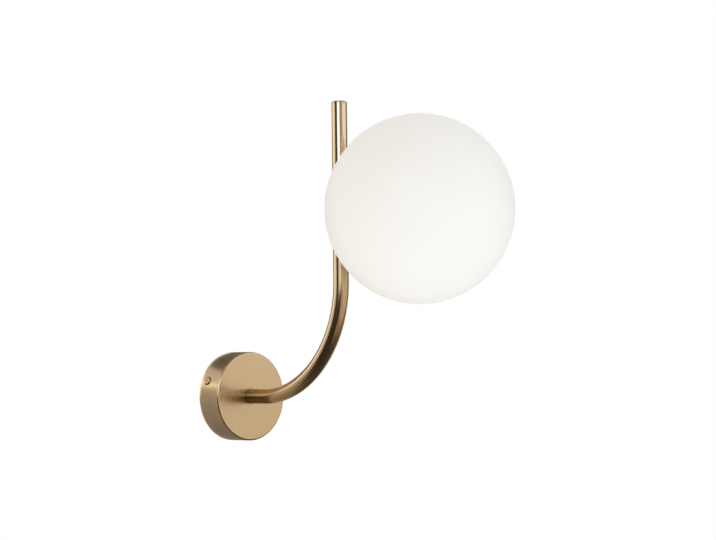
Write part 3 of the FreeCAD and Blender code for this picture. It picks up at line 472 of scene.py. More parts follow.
def turned(outline, start, direction=OUT_OF_WALL, steps=96, closed=True):
    """Sweep an outline of (radius, along) points about an axis."""
    along = Vector(direction).normalized()
    across = along.orthogonal().normalized()
    upright = along.cross(across)
    mesh = bmesh.new()
    rings = []
    for radius, height in outline:
        rings.append(ring_of(mesh, Vector(start) + along * height, across, upright, radius, steps))
    skin(mesh, rings, closed)
    return mesh


def turned_round(corners, start=WALL_MIDDLE, steps=96, closed=True):
    """Round the corners of an outline and turn it about an axis out of the wall."""
    return turned(rounded(corners, closed), start, OUT_OF_WALL, steps, closed)


def cylinder(radius, low, high, start, direction=OUT_OF_WALL, steps=48):
    """A plain cutting cylinder between two distances along an axis."""
    return turned([(0, low), (radius, low), (radius, high), (0, high)], start, direction, steps, closed=False)


# %% Cut one mesh with others


def cut(mesh, *tools, operation="DIFFERENCE"):
    """Cut, join or cross a mesh with tools, one after the other."""
    blank = new_thing("blank", mesh)
    tool_things = [new_thing("tool", tool) for tool in tools]
    for tool in tool_things:
        change = blank.modifiers.new("cut", "BOOLEAN")
        change.operation = operation
        change.solver = "EXACT"
        change.object = tool
    ready = blank.evaluated_get(bpy.context.evaluated_depsgraph_get())
    result = bmesh.new()
    result.from_mesh(ready.to_mesh())
    ready.to_mesh_clear()
    for thing in (blank, *tool_things):
        bpy.data.objects.remove(thing)
    bmesh.ops.remove_doubles(result, verts=result.verts, dist=1e-4)
    return result


def bevelled(mesh, width, least_angle=40, segments=2):
    """Round every edge that turns by more than an angle."""
    limit = math.radians(least_angle)
    edges = [edge for edge in mesh.edges if len(edge.link_faces) == 2 and edge.calc_face_angle() > limit]
    bmesh.ops.bevel(
        mesh, geom=edges, offset=width, offset_type="OFFSET", segments=segments, profile=0.5, affect="EDGES",
        clamp_overlap=True,
    )
    return mesh


# %% Turn a mesh into a piece of the lamp
SHARP_ANGLE = math.radians(32)
FACE_WEIGHT = 60
SLOT_OF = {part["node"]: part["material_slot"] for part in frame["record"]["subparts"]}
BODY_OF = {node: body for body, nodes in frame["record"]["behaviour"]["bodies"].items() for node in nodes}


def place_piece(name, node, mesh, finish=None):
    """Make a shown piece from a mesh in millimetres, in place of its CAD node."""
    bmesh.ops.transform(mesh, matrix=Matrix.Scale(MM, 4), verts=mesh.verts)
    piece = new_thing(name, mesh, FINISHES[finish or SLOT_OF[node]])
    piece.data.shade_smooth()
    piece.data.set_sharp_from_angle(angle=SHARP_ANGLE)
    even = piece.modifiers.new("even_normals", "WEIGHTED_NORMAL")
    even.keep_sharp = True
    even.weight = FACE_WEIGHT
    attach(piece, BODY_OF[node])
    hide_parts(node)
    size = piece.dimensions / MM
    print(f"{name}: {len(piece.data.vertices)} vertices, {size.x:.1f} by {size.y:.1f} by {size.z:.1f} mm")


# %% [markdown]
# ## Satin brass
# The canopy and the arm are brushed with a fine abrasive, so that mirror images blur into soft bands.
# A flat colour with one roughness looks like plastic. The real finish has hair-fine scratches that run
# one way, slow changes in how well it was rubbed, and edges that were rubbed brighter, though their
# lighter colour is partly a painted highlight. The corners carry painted shade, which stands for shade
# and for brass mirroring brass, and the Ambient Occlusion node finds them; on the arm it reaches far
# enough to shade the rod beside the globe. The canopy's brass is also painted lighter, as painted light.
# The scratches run round a turned piece and along a tube, so each piece gets its own rule for where a
# point lies across them, and one network does the rest.

# %% Where a point lies in the grain
ACROSS_GRAIN = 3200.0
ALONG_GRAIN = 20.0
ROUND_GRAIN = 2.0
BEND_MIDDLE = (-0.055, 0.125)


def add_radius(tree, first, second):
    """How far a point is from an axis, by its two sides."""
    squares = add_sum(tree, "MULTIPLY_ADD", first, first, add_sum(tree, "POWER", second, 2.0))
    return add_sum(tree, "SQRT", squares)


def round_grain(axis_height):
    """A rule for scratches that run round an axis parallel to Y, as the lathe left them."""
    def place(tree):
        spot = parts_of(tree, own_place(tree))
        rise = add_sum(tree, "SUBTRACT", spot["Z"], axis_height)
        turn = add_sum(tree, "SINE", add_sum(tree, "ARCTAN2", rise, spot["X"]))
        across = add_sum(tree, "MULTIPLY", add_radius(tree, rise, spot["X"]), ACROSS_GRAIN)
        depth = add_sum(tree, "MULTIPLY", spot["Y"], ACROSS_GRAIN)
        around = add_sum(tree, "MULTIPLY", turn, ROUND_GRAIN)
        return add_node(tree, "CombineXYZ", None, X=across, Y=depth, Z=around).outputs[0]
    return place


def arm_grain(tree):
    """Scratches that follow the arm: out along the stub, round the bend and up the rod."""
    spot = parts_of(tree, own_place(tree))
    outer = add_sum(tree, "MINIMUM", add_sum(tree, "SUBTRACT", spot["Y"], BEND_MIDDLE[0]), 0.0)
    below = add_sum(tree, "MINIMUM", add_sum(tree, "SUBTRACT", spot["Z"], BEND_MIDDLE[1]), 0.0)
    sideways = add_sum(tree, "MULTIPLY", spot["X"], ACROSS_GRAIN)
    across = add_sum(tree, "MULTIPLY", add_radius(tree, outer, below), ACROSS_GRAIN)
    run = add_sum(tree, "MULTIPLY", add_sum(tree, "SUBTRACT", spot["Z"], spot["Y"]), ALONG_GRAIN)
    return add_node(tree, "CombineXYZ", None, X=sideways, Y=across, Z=run).outputs[0]


# %% Mix the brass
BRASS_TONES = ((0.590, 0.410, 0.225), (0.635, 0.455, 0.262))
SCRATCH_TONE = (0.46, 0.31, 0.15, 1)
# Lighter brass on edges: rubbed wear, and partly a painted highlight.
EDGE_WEAR_AND_HIGHLIGHT_TONE = (0.80, 0.62, 0.38, 1)
# Painted shade: the dark brass laid into corners, and on the arm beside the globe.
PAINTED_SHADE_TONE = (0.060, 0.030, 0.012, 1)
globe_axis = sum(corner.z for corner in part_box("gallery")) / 2
SATIN_BRASS = {
    # finish: grain, least roughness, depth of scratches, painted lightness, reach and share of painted shade
    # The canopy's lightness of 1.18 is painted light: the same brass made lighter than the arm's.
    "satin_brass_canopy": (round_grain(0.0), 0.225, 3e-7, 1.18, 0.003, 0.30),
    "satin_brass_arm": (arm_grain, 0.17, 2e-7, 1.0, 0.040, 0.54),
    "satin_brass_gallery": (round_grain(globe_axis), 0.20, 4e-7, 1.0, 0.003, 0.30),
}


def satin_brass(name, grain, smoothest, depth, painted_lightness, painted_shade_reach, painted_shade_share):
    """Brushed brass under a clear satin lacquer, with painted shade in corners and painted highlights on
    edges.
    """
    tree = new_finish(name)
    place = own_place(tree)
    scratches = add_noise(tree, grain(tree), 1.0)
    clouds = add_noise(tree, place, 28.0, 3.0)
    pits = add_noise(tree, place, 1900.0, 1.0)
    edge = add_range(tree, add_node(tree, "NewGeometry").outputs["Pointiness"], 0.50, 0.56, 0.0, 1.0)
    # Painted shade: ambient occlusion darkens the brass in corners, and on the arm as far as the rod beside
    # the globe.
    openness = add_node(tree, "AmbientOcclusion", {"samples": 8}, Distance=painted_shade_reach).outputs["AO"]
    corner = add_range(tree, openness, 0.50, 0.93, painted_shade_share, 0.0)
    # The lightness factor paints the brass lighter, as painted light; only the canopy uses more than 1.
    tone = add_blend(tree, clouds, *([part * painted_lightness for part in tone] + [1] for tone in BRASS_TONES))
    tone = add_blend(tree, spread(tree, scratches, 0.0, 0.10), tone, SCRATCH_TONE)
    # Edges get lighter brass: partly rubbed wear, partly a painted highlight.
    tone = add_blend(tree, add_sum(tree, "MULTIPLY", edge, 0.35), tone, EDGE_WEAR_AND_HIGHLIGHT_TONE)
    # The painted shade goes into the colour here.
    tone = add_blend(tree, corner, tone, PAINTED_SHADE_TONE)
    rubbed = spread(tree, clouds, smoothest, smoothest + 0.04)
    rubbed = add_sum(tree, "MULTIPLY_ADD", edge, -0.12, rubbed)
    rubbed = add_sum(tree, "MULTIPLY_ADD", scratches, 0.05, rubbed)
    relief = add_sum(tree, "MULTIPLY_ADD", pits, 0.3, scratches)
    end_finish(tree, tone, rubbed, relief, depth, Metallic=1.0)


for name, look in SATIN_BRASS.items():
    satin_brass(name, *look)
print("brass finishes:", list(SATIN_BRASS))

# %% [markdown]
# ## Opal glass
# The globe is blown from white opal glass and etched to a satin skin. Light enters it, scatters and
# comes out nearby, so its shading is softer than paint. A clear glass shader would be wrong here, and
# so would plain white. A white base with a little subsurface light and a broad, weak gloss gives the
# milky look, and slow noise stands for the uneven thickness that blowing leaves.

# %% Mix the opal glass
OPAL_TONES = ((0.925, 0.917, 0.895, 1), (0.940, 0.937, 0.922, 1))

tree = new_finish("opal_glass")
place = own_place(tree)
thick = spread(tree, add_noise(tree, place, 9.0), 0.0, 1.0, 0.35)
frost = add_noise(tree, place, 2600.0)
end_finish(
    tree, add_blend(tree, thick, *OPAL_TONES), spread(tree, frost, 0.50, 0.60), frost, 1.5e-6,
    Specular_IOR_Level=0.35, Subsurface_Weight=0.25, Subsurface_Radius=(0.004, 0.004, 0.0036),
    Subsurface_Scale=1.0,
)
print("glass finish: opal_glass")

# %% [markdown]
# ## Finishes for what lies inside
# Behind the canopy and inside the globe sit plain working parts of zinc-plated steel, bare brass,
# spring steel, ceramic, plastic, rubber and silicone. They show from behind, and when the lamp is
# taken apart. Each one is kept simple, but none is one flat colour: plating has soft blooms, bare
# brass tarnishes in clouds, and moulded parts have a faint skin.

# %% Mix the metals
METALS = {
    # finish: light tone, dark tone, lowest and highest roughness, scale of clouds and grain, depth
    "zinc_steel": ((0.70, 0.71, 0.70), (0.52, 0.55, 0.58), 0.30, 0.42, 120.0, 1500.0, 4e-6),
    "raw_brass": ((0.76, 0.58, 0.27), (0.55, 0.38, 0.16), 0.26, 0.40, 90.0, 2200.0, 3e-6),
    "screw_brass": ((0.72, 0.53, 0.30), (0.62, 0.43, 0.21), 0.20, 0.28, 160.0, 2600.0, 2e-6),
    "spring_steel": ((0.60, 0.60, 0.59), (0.47, 0.47, 0.48), 0.20, 0.30, 200.0, 2800.0, 2e-6),
}


def plain_metal(name, light, dark, low_rough, high_rough, cloud_scale, grain_scale, depth):
    """A bare or plated metal: two tones in clouds, with a fine grain."""
    tree = new_finish(name)
    place = own_place(tree)
    clouds = spread(tree, add_noise(tree, place, cloud_scale, 4.0, 0.6), 0.0, 1.0, 0.35)
    grain = add_noise(tree, place, grain_scale)
    rubbed = add_range(tree, clouds, 0.0, 1.0, high_rough, low_rough)
    rubbed = add_sum(tree, "MULTIPLY_ADD", grain, 0.08, rubbed)
    tone = add_blend(tree, clouds, (*dark, 1), (*light, 1))
    end_finish(tree, tone, rubbed, grain, depth, Metallic=1.0)


for name, look in METALS.items():
    plain_metal(name, *look)
print("metals:", list(METALS))

# %% Mix the moulded and fired materials
SPECK_TONE = (0.35, 0.31, 0.26, 1)
MOULDED = {
    # finish: light tone, dark tone, lowest and highest roughness, depth, milkiness, strength of specks
    "bush_rubber": ((0.040, 0.040, 0.042), (0.022, 0.022, 0.024), 0.55, 0.75, 1e-5, 0.0, 0.0),
    "gasket_silicone": ((0.80, 0.79, 0.76), (0.72, 0.71, 0.68), 0.38, 0.50, 6e-6, 0.5, 0.0),
    "block_plastic": ((0.80, 0.79, 0.74), (0.73, 0.72, 0.67), 0.34, 0.46, 6e-6, 0.3, 0.0),
    "white_ceramic": ((0.86, 0.84, 0.79), (0.79, 0.77, 0.71), 0.24, 0.42, 8e-6, 0.0, 0.5),
    "bulb_plastic": ((0.86, 0.86, 0.84), (0.81, 0.81, 0.79), 0.28, 0.38, 4e-6, 0.2, 0.0),
}


def moulded(name, light, dark, low_rough, high_rough, depth, milky, speck):
    """Rubber, plastic, silicone or ceramic: a faintly uneven tone under a fine skin."""
    tree = new_finish(name)
    place = own_place(tree)
    clouds = spread(tree, add_noise(tree, place, 140.0, 3.0), 0.0, 1.0, 0.35)
    fine = add_noise(tree, place, 1800.0)
    tone = add_blend(tree, clouds, (*dark, 1), (*light, 1))
    if speck:
        specks = add_range(tree, add_noise(tree, place, 900.0, 1.0), 0.68, 0.74, 0.0, speck)
        tone = add_blend(tree, specks, tone, SPECK_TONE)
    end_finish(
        tree, tone, spread(tree, fine, low_rough, high_rough), fine, depth,
        Subsurface_Weight=milky, Subsurface_Radius=(1.0, 0.9, 0.8), Subsurface_Scale=0.001,
    )


for name, look in MOULDED.items():
    moulded(name, *look)
print("moulded:", list(MOULDED))

# %% [markdown]
# ## The leads
# Three silicone leads run inside: brown for live, blue for neutral, and green with yellow for earth.
# The earth stripes run along the lead. A painted picture could hold them, but a simple rule is enough:
# the surface is yellow where it faces left or right, and green where it faces up, down or out.

# %% Mix the lead colours
LEADS = {
    # finish: main colour, colour of the stripes
    "lead_brown": ((0.155, 0.062, 0.028), None),
    "lead_blue": ((0.030, 0.120, 0.420), None),
    "lead_green": ((0.030, 0.260, 0.060), (0.780, 0.620, 0.040)),
}


def lead_skin(name, tone, stripe):
    """Matt silicone, with two stripes where a second colour is given."""
    tree = new_finish(name)
    dust = add_noise(tree, own_place(tree), 700.0, 3.0)
    colour = add_blend(tree, dust, [part * 0.8 for part in tone] + [1], (*tone, 1))
    if stripe:
        sideways = parts_of(tree, add_node(tree, "TexCoord").outputs["Normal"])["X"]
        share = add_range(tree, add_sum(tree, "ABSOLUTE", sideways), 0.66, 0.70, 0.0, 1.0)
        colour = add_blend(tree, share, colour, (*stripe, 1))
    end_finish(tree, colour, spread(tree, dust, 0.38, 0.50), dust, 5e-6)


for name, colours in LEADS.items():
    lead_skin(name, *colours)
print("leads:", list(LEADS))

# %% [markdown]
# ## Bulb glass and phosphor
# The capsule bulb has a clear dome over a yellow phosphor core. Clear glass is a transmission shader
# with an index of refraction of 1.47. Small round diodes cover the core, and a Voronoi pattern gives
# those dots without any modelling.

# %% Mix the bulb's materials
GLASS_TONES = ((0.95, 0.97, 0.97, 1), (0.99, 1.0, 1.0, 1))
DIODE_TONES = ((0.80, 0.74, 0.55, 1), (0.88, 0.62, 0.10, 1))
DIODES_PER_METRE = 520.0

tree = new_finish("bulb_glass")
ripple = add_noise(tree, own_place(tree), 160.0)
colour = add_blend(tree, ripple, *GLASS_TONES)
end_finish(tree, colour, spread(tree, ripple, 0.02, 0.05), ripple, 2e-5, Transmission_Weight=1.0, IOR=1.47)

tree = new_finish("led_phosphor")
cells = add_node(tree, "TexVoronoi", None, Vector=own_place(tree), Scale=DIODES_PER_METRE, Randomness=0.25)
dome = add_range(tree, cells.outputs["Distance"], 0.15, 0.45, 1.0, 0.0)
gloss = add_range(tree, dome, 0.0, 1.0, 0.55, 0.30)
end_finish(tree, add_blend(tree, dome, *DIODE_TONES), gloss, dome, 3e-4)
print("finishes mixed:", list(FINISHES))

# %% [markdown]
# ## The canopy
# The canopy is the round brass cover on the wall. A cylinder would look right from afar, but the real
# one has a fine rounded front edge that shows as a bright line, and two holes in its side for the
# clamping screws. So it is turned from an outline with a fillet at each corner, drilled with exact
# booleans, and bevelled at the holes.

# %% Turn and drill the canopy
CANOPY_WALL = 2.0
CANOPY_EDGE = 2.0
STUD_HOLE_RADIUS = 5.2
SCREW_SETBACK = 11.25
SCREW_HOLE_RADIUS = 5.25
SCREW_SEAT = 47.6
SCREW_TILTS = {"left": 159.0, "right": -21.0}


def box_mm(node):
    """A CAD node's lowest and highest corners in millimetres."""
    return [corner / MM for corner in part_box(node)]


def reach_of(node, start=WALL_MIDDLE):
    """A turned node's radius, and how far out from a start its back and its front lie."""
    low, high = box_mm(node)
    return high.x, start[1] - high.y, start[1] - low.y


def side_direction(tilt):
    """The way that a side screw points, out from the canopy's axis."""
    return Vector((math.cos(math.radians(tilt)), 0, math.sin(math.radians(tilt))))


radius, rim, front = reach_of("canopy")
inside, back = radius - CANOPY_WALL, front - CANOPY_WALL
cup = turned_round([
    (STUD_HOLE_RADIUS, front, 0.2), (radius, front, CANOPY_EDGE), (radius, rim, 0.3), (inside, rim, 0.3),
    (inside, back, 0.8), (STUD_HOLE_RADIUS, back, 0.2),
], steps=240)
drills = [
    cylinder(SCREW_HOLE_RADIUS, SCREW_SEAT, radius + 2, (0, -SCREW_SETBACK, 0), side_direction(tilt), 64)
    for tilt in SCREW_TILTS.values()
]
mesh = bevelled(cut(cup, *drills), 0.18)
place_piece("canopy_cover", "canopy", mesh, "satin_brass_canopy")

# %% [markdown]
# ## The arm
# The arm is one brass tube. It leaves the canopy straight, turns up in a wide quarter bend and rises
# as a rod past the globe. A curve object with a bevel would be quick, but its ends stay open and its
# rings do not land where the bend starts. Rings along the tube's own line give an even skin, inside
# and out, with true tube ends. A cross hole at the globe's height takes the globe's stem.

# %% Sweep the tube along its line
TUBE_RADIUS = 8.5
TUBE_BORE = 7.0
TUBE_LIP = 0.15
BEND_STEPS = 72
CROSS_HOLE_RADIUS = 4.25


def arm_stations(start, top):
    """Points and headings along the arm's middle line, from the canopy to its top."""
    bend_y, bend_z = (number / MM for number in BEND_MIDDLE)
    outward, upward = Vector(OUT_OF_WALL), Vector((0, 0, 1))
    stations = [(Vector((0, start, 0)), outward), (Vector((0, start - TUBE_LIP, 0)), outward)]
    for step in range(BEND_STEPS + 1):
        angle = math.pi / 2 * step / BEND_STEPS
        swing = outward * math.sin(angle) - upward * math.cos(angle)
        heading = outward * math.cos(angle) + upward * math.sin(angle)
        stations.append((Vector((0, bend_y, bend_z)) + swing * bend_z, heading))
    rod = stations[-1][0]
    for height in (top - TUBE_LIP, top):
        stations.append((Vector((0, rod.y, height)), upward))
    return stations


high = box_mm("arm_tube")[1]
stations = arm_stations(high.y, high.z)
radii = [TUBE_RADIUS] * len(stations)
radii[0] = radii[-1] = TUBE_RADIUS - TUBE_LIP
mesh = bmesh.new()
rings = []
for (middle, heading), radius in zip(stations + stations[::-1], radii + [TUBE_BORE] * len(stations)):
    rings.append(ring_of(mesh, middle, ACROSS, heading.cross(ACROSS), radius, 96))
skin(mesh, rings, closed=True)
drill = cylinder(CROSS_HOLE_RADIUS, 3, TUBE_RADIUS + 2, (0, stations[-1][0].y, globe_axis / MM))
mesh = bevelled(cut(mesh, drill), 0.15, 50)
place_piece("arm_bent_tube", "arm_tube", mesh, "satin_brass_arm")

# %% [markdown]
# ## The cap on the rod
# A small turned plug closes the top of the rod. The photograph shows a bevelled end with a thin dark
# line round it. It is turned as one outline with its plug, and its seam to the tube is a hairline.

# %% Turn the end cap
CAP_CHAMFER = 1.2
CAP_PLAY = 0.05
cap_low, cap_high = box_mm("arm_end_cap")
rod_axis = (cap_low.y + cap_high.y) / 2
base, top = cap_low.z, cap_high.z
plug = TUBE_BORE - CAP_PLAY
seam = box_mm("arm_tube")[1].z
outline = rounded([
    (0, base, 0), (plug, base, 0.4), (plug, seam, 0), (TUBE_RADIUS, seam, 0.12),
    (TUBE_RADIUS, top - CAP_CHAMFER, 0.3), (TUBE_RADIUS - CAP_CHAMFER, top, 0.3), (0, top, 0),
], closed=False)
mesh = turned(outline, (0, rod_axis, 0), (0, 0, 1), closed=False)
place_piece("rod_end_cap", "arm_end_cap", mesh, "satin_brass_arm")

# %% [markdown]
# ## The globe
# The globe is a blown ball with a short neck that screws into the brass gallery. A ready-made sphere
# has no neck, no thickness and no mouth. Here one outline runs from the far pole along the outside,
# round the ground mouth and back along the inside, with a small fillet where neck and ball meet.

# %% Turn the globe
GLOBE_WALL = 3.0
NECK_RADIUS = 22.5
LIP_LENGTH = 4.0
LIP_EDGE = 0.8
BALL_STEPS = 90
globe_start = (0, rod_axis, globe_axis / MM)


def ball_and_neck(ball, neck, middle, fillet):
    """Outline points from the far pole to the neck, with a fillet between ball and neck."""
    fillet_along = middle - math.sqrt((ball + fillet) ** 2 - (neck + fillet) ** 2)
    reach = math.atan2(neck + fillet, fillet_along - middle)
    turns = [reach * step / BALL_STEPS for step in range(BALL_STEPS + 1)]
    points = [(ball * math.sin(turn), middle + ball * math.cos(turn)) for turn in turns]
    start = reach - math.pi
    for step in range(1, FILLET_STEPS + 1):
        turn = start + (-math.pi / 2 - start) * step / FILLET_STEPS
        points.append((neck + fillet + fillet * math.sin(turn), fillet_along + fillet * math.cos(turn)))
    return points


ball, mouth, pole = reach_of("globe", globe_start)
bore, neck_end = NECK_RADIUS - GLOBE_WALL, mouth + LIP_LENGTH
outside = ball_and_neck(ball, NECK_RADIUS, pole - ball, 1.8)
inside = ball_and_neck(ball - GLOBE_WALL, bore, pole - ball, 1.2)
lip = rounded([
    (NECK_RADIUS, neck_end, 0), (NECK_RADIUS, mouth, LIP_EDGE), (bore, mouth, LIP_EDGE), (bore, neck_end, 0),
], closed=False)
mesh = turned(outside + lip + inside[::-1], globe_start, steps=160, closed=False)
place_piece("opal_globe", "globe", mesh)

# %% [markdown]
# ## The gallery
# The gallery is the spun brass cup that holds the globe's neck. Spinning leaves a soft corner at its
# foot and a rim rolled to a half round, which the outline's fillets give.

# %% Turn the gallery
GALLERY_SHEET = 1.5
GALLERY_RIM = 1.2

radius, back, front = reach_of("gallery", globe_start)
inside, base = radius - GALLERY_RIM, back + GALLERY_SHEET
mesh = turned_round([
    (STUD_HOLE_RADIUS, back, 0.1), (radius, back, 1.3), (radius, front, 0.55), (inside, front, 0.55),
    (inside, base, 0.5), (STUD_HOLE_RADIUS, base, 0.1),
], globe_start, 160)
place_piece("globe_gallery", "gallery", mesh, "satin_brass_gallery")

# %% [markdown]
# ## Cross-head screws
# Three screws of one kind are used: two clamp the canopy from its sides, and one is the earth screw.
# Each has a low rounded head and a threaded shank. The cross is cut with a tool whose arms narrow
# towards the bottom, because a driver's tip is tapered. The thread is a true helix: each ring of the
# shank climbs as it goes round.

# %% Make one screw and use it three times
HEAD_RADIUS = 4.0
HEAD_HEIGHT = 2.3
HEAD_SIDE = 0.86
SHANK_RADIUS = 2.0
SHANK_STEPS = 40
THREAD_PITCH = 0.7
THREAD_DEPTH = 0.28
CROSS_REACH = 2.4
CROSS_WIDTH = 1.1
CROSS_DEPTH = 1.3
CROSS_TAPER = 0.72
SIDE_SHANK = 5.4
SCREW_STANDOFF = 1.6


def tapered_bar(turn):
    """A bar whose lower end is smaller, used to cut one arm pair of the cross."""
    mesh = bmesh.new()
    long, wide = CROSS_REACH, CROSS_WIDTH / 2
    rings = []
    for height, scale in ((0.2, 1.0), (0.0, 1.0), (-CROSS_DEPTH, CROSS_TAPER)):
        corners = [(-long, -wide), (long, -wide), (long, wide), (-long, wide)]
        rings.append([mesh.verts.new(turn @ Vector((x * scale, y * scale, height))) for x, y in corners])
    skin(mesh, rings, capped=True)
    return mesh


def threaded_shank(length):
    """A shank along -Z whose ridge winds up it in one unbroken helix, with a tapered tip."""
    mesh = bmesh.new()
    levels = max(8, round(length / THREAD_PITCH * 6))
    rings = [[mesh.verts.new((0, 0, 0.3))]]
    for level in range(levels + 1):
        height = 0.1 - (length + 0.1) * level / levels
        taper = min(1.0, 0.55 + (length + height) / THREAD_PITCH * 0.45)
        ring = []
        for step in range(SHANK_STEPS):
            turn = 2 * math.pi * step / SHANK_STEPS
            phase = (height / THREAD_PITCH + step / SHANK_STEPS) % 1.0
            radius = (SHANK_RADIUS - THREAD_DEPTH * (1 - abs(2 * phase - 1))) * taper
            ring.append(mesh.verts.new((radius * math.cos(turn), radius * math.sin(turn), height)))
        rings.append(ring)
    rings.append([mesh.verts.new((0, 0, -length))])
    skin(mesh, rings)
    return mesh


def cross_head_screw(shank, seat, direction):
    """A screw with its head's underside at the seat and its head along a direction."""
    outline = rounded([
        (0, 0, 0), (HEAD_RADIUS, 0, 0.15), (HEAD_RADIUS, HEAD_HEIGHT * HEAD_SIDE, 1.0), (0, HEAD_HEIGHT, 0),
    ], closed=False)
    head = turned(outline, WALL_MIDDLE, (0, 0, 1), 64, closed=False)
    top = Matrix.Translation((0, 0, HEAD_HEIGHT))
    arms = [tapered_bar(top @ Matrix.Rotation(turn, 4, "Z")) for turn in (0, math.pi / 2)]
    screw = cut(bevelled(cut(head, *arms), 0.07, 45), threaded_shank(shank), operation="UNION")
    turn = Vector(direction).to_track_quat("Z", "Y").to_matrix().to_4x4()
    bmesh.ops.transform(screw, matrix=Matrix.Translation(seat) @ turn, verts=screw.verts)
    return screw


for side, tilt in SCREW_TILTS.items():
    away = side_direction(tilt)
    seat = away * (SCREW_SEAT + SCREW_STANDOFF) + Vector((0, -SCREW_SETBACK, 0))
    place_piece(f"clamp_screw_{side}", f"side_screw_{side}", cross_head_screw(SIDE_SHANK, seat, away))

earth_low, earth_high = box_mm("earth_screw")
earth_seat = Vector((0, earth_low.y + HEAD_HEIGHT, (earth_low.z + earth_high.z) / 2))
mesh = cross_head_screw(earth_high.y - earth_seat.y, earth_seat, OUT_OF_WALL)
place_piece("earth_point_screw", "earth_screw", mesh)

# %% [markdown]
# ## The wall plate
# A pan pressed from zinc-plated sheet sits on the wall, and the canopy is clamped over its rim. It has
# two slots for the wall screws, a hole for the cable and a raised boss for the earth screw. Pressing
# leaves round bends rather than sharp corners, and cutting leaves a slight burr-free bevel.

# %% Press and punch the wall plate
SLOT_WIDTH = 5.0
SLOT_LENGTH = 12.0
SLOT_MIDDLE = 30.0
SLOT_END_STEPS = 16
CABLE_HOLE_RADIUS = 6.5
BOSS_RADIUS = 7.0
PLATE_SHEET = 2.0
RIM_SHEET = 1.5
WASHER_SHEET = 0.8


def slot_punch(middle):
    """A punch with round ends that runs along X."""
    radius = SLOT_WIDTH / 2
    reach = SLOT_LENGTH / 2 - radius
    outline = []
    for side in (1, -1):
        for step in range(SLOT_END_STEPS + 1):
            turn = math.pi * (step / SLOT_END_STEPS - 0.5)
            along = middle + side * (reach + math.cos(turn) * radius)
            outline.append((along, side * math.sin(turn) * radius))
    mesh = bmesh.new()
    rings = [[mesh.verts.new((x, depth, z)) for x, z in outline] for depth in (1, -PLATE_SHEET - 1)]
    skin(mesh, rings, capped=True)
    return mesh


radius, rim = reach_of("wall_plate")[::2]
inside = radius - RIM_SHEET
pan = turned_round([
    (CABLE_HOLE_RADIUS, 0, 0.25), (radius, 0, 1.9), (radius, rim, 0.35), (inside, rim, 0.35),
    (inside, PLATE_SHEET, 0.9), (CABLE_HOLE_RADIUS, PLATE_SHEET, 0.25),
], steps=180)
start = (0, 0, earth_seat.z)
front = -earth_seat.y - WASHER_SHEET
boss, hollow = (
    turned_round([(0, foot, 0), (width, foot, 0), (width, top, fillet), (0, top, 0)], start, 64, False)
    for width, foot, top, fillet in (
        (BOSS_RADIUS, 0.5, front, 1.2), (BOSS_RADIUS - RIM_SHEET, -1, front - PLATE_SHEET, 1.0),
    )
)
tapping = cylinder(SHANK_RADIUS + 0.05, -1, front + 1, start, steps=40)
raised = cut(pan, boss, operation="UNION")
mesh = bevelled(cut(raised, hollow, tapping, slot_punch(-SLOT_MIDDLE), slot_punch(SLOT_MIDDLE)), 0.2, 50)
place_piece("wall_pan", "wall_plate", mesh)

# %% [markdown]
# ## Rings, washers and the rubber bush
# These are turned too. The bush has a soft rounded flange, since rubber is never sharp, while the
# washers keep a crisp but broken edge. One table gives each ring its hole and edge.

# %% Turn the small rings
CABLE_BORE = 4.5
RINGS = {
    # piece: node, radius of the hole, fillet
    "earth_flat_washer": ("earth_washer", 2.2, 0.12),
    "stud_lock_washer": ("arm_lock_washer", 5.2, 0.15),
    "gallery_flat_washer": ("gallery_washer", 5.2, 0.15),
    "globe_seal_ring": ("globe_gasket", 19.6, 0.6),
}


def axis_of(node):
    """Where the axis of a turned node meets the wall."""
    low, high = box_mm(node)
    return (0, 0, (low.z + high.z) / 2)


def make_ring(node, hole, fillet):
    """A plain ring from a node's box, with the same fillet at all four corners."""
    radius, back, front = reach_of(node)
    corners = [(hole, back), (radius, back), (radius, front), (hole, front)]
    return turned_round([(*corner, fillet) for corner in corners], axis_of(node))


flange, front = reach_of("cable_bush")[::2]
barrel = CABLE_HOLE_RADIUS - 0.05
mesh = turned_round([
    (CABLE_BORE, 0, 0.5), (barrel, 0, 0.1), (barrel, PLATE_SHEET, 0), (flange, PLATE_SHEET, 0.5),
    (flange, front, 0.7), (CABLE_BORE, front, 0.7),
])
place_piece("entry_bush", "cable_bush", mesh)
for name, (node, hole, fillet) in RINGS.items():
    place_piece(name, node, make_ring(node, hole, fillet))

# %% [markdown]
# ## Hexagon nuts
# Three thin nuts hold the lamp together. A hexagon extruded straight up looks like a token. A real nut
# is cut from hexagon bar and its corners are turned off at both ends, which leaves curved bright
# edges. So the hexagonal block is crossed with a turned shape that has those cones.

# %% Cut the nuts
NUT_FLAT = 7.0
NUT_CORNER = NUT_FLAT * 2 / math.sqrt(3)
NUT_CONE = 0.7
NUT_BORE = 5.05
NUT_SINK = 5.9
HAIR = 0.001
NUTS = {"stud_locknut": "arm_locknut", "gallery_thin_nut": "gallery_nut", "bracket_thin_nut": "bracket_nut"}


def make_nut(node):
    """A hexagon crossed with a chamfered disc, with a countersunk hole."""
    start = axis_of(node)
    back, front = reach_of(node)[1:]
    wide = NUT_CORNER + 0.2
    disc = turned([
        (0, back - HAIR), (NUT_FLAT, back - HAIR), (wide, back + NUT_CONE), (wide, front - NUT_CONE),
        (NUT_FLAT, front + HAIR), (0, front + HAIR),
    ], start, closed=False)
    hole = turned([
        (0, back - 1), (NUT_SINK, back - 0.35), (NUT_BORE, back + 0.5), (NUT_BORE, front - 0.5),
        (NUT_SINK, front + 0.35), (0, front + 1),
    ], start, steps=64, closed=False)
    bar = cylinder(NUT_CORNER, back, front, start, steps=6)
    return bevelled(cut(cut(bar, disc, operation="INTERSECT"), hole), 0.06, 50, 1)


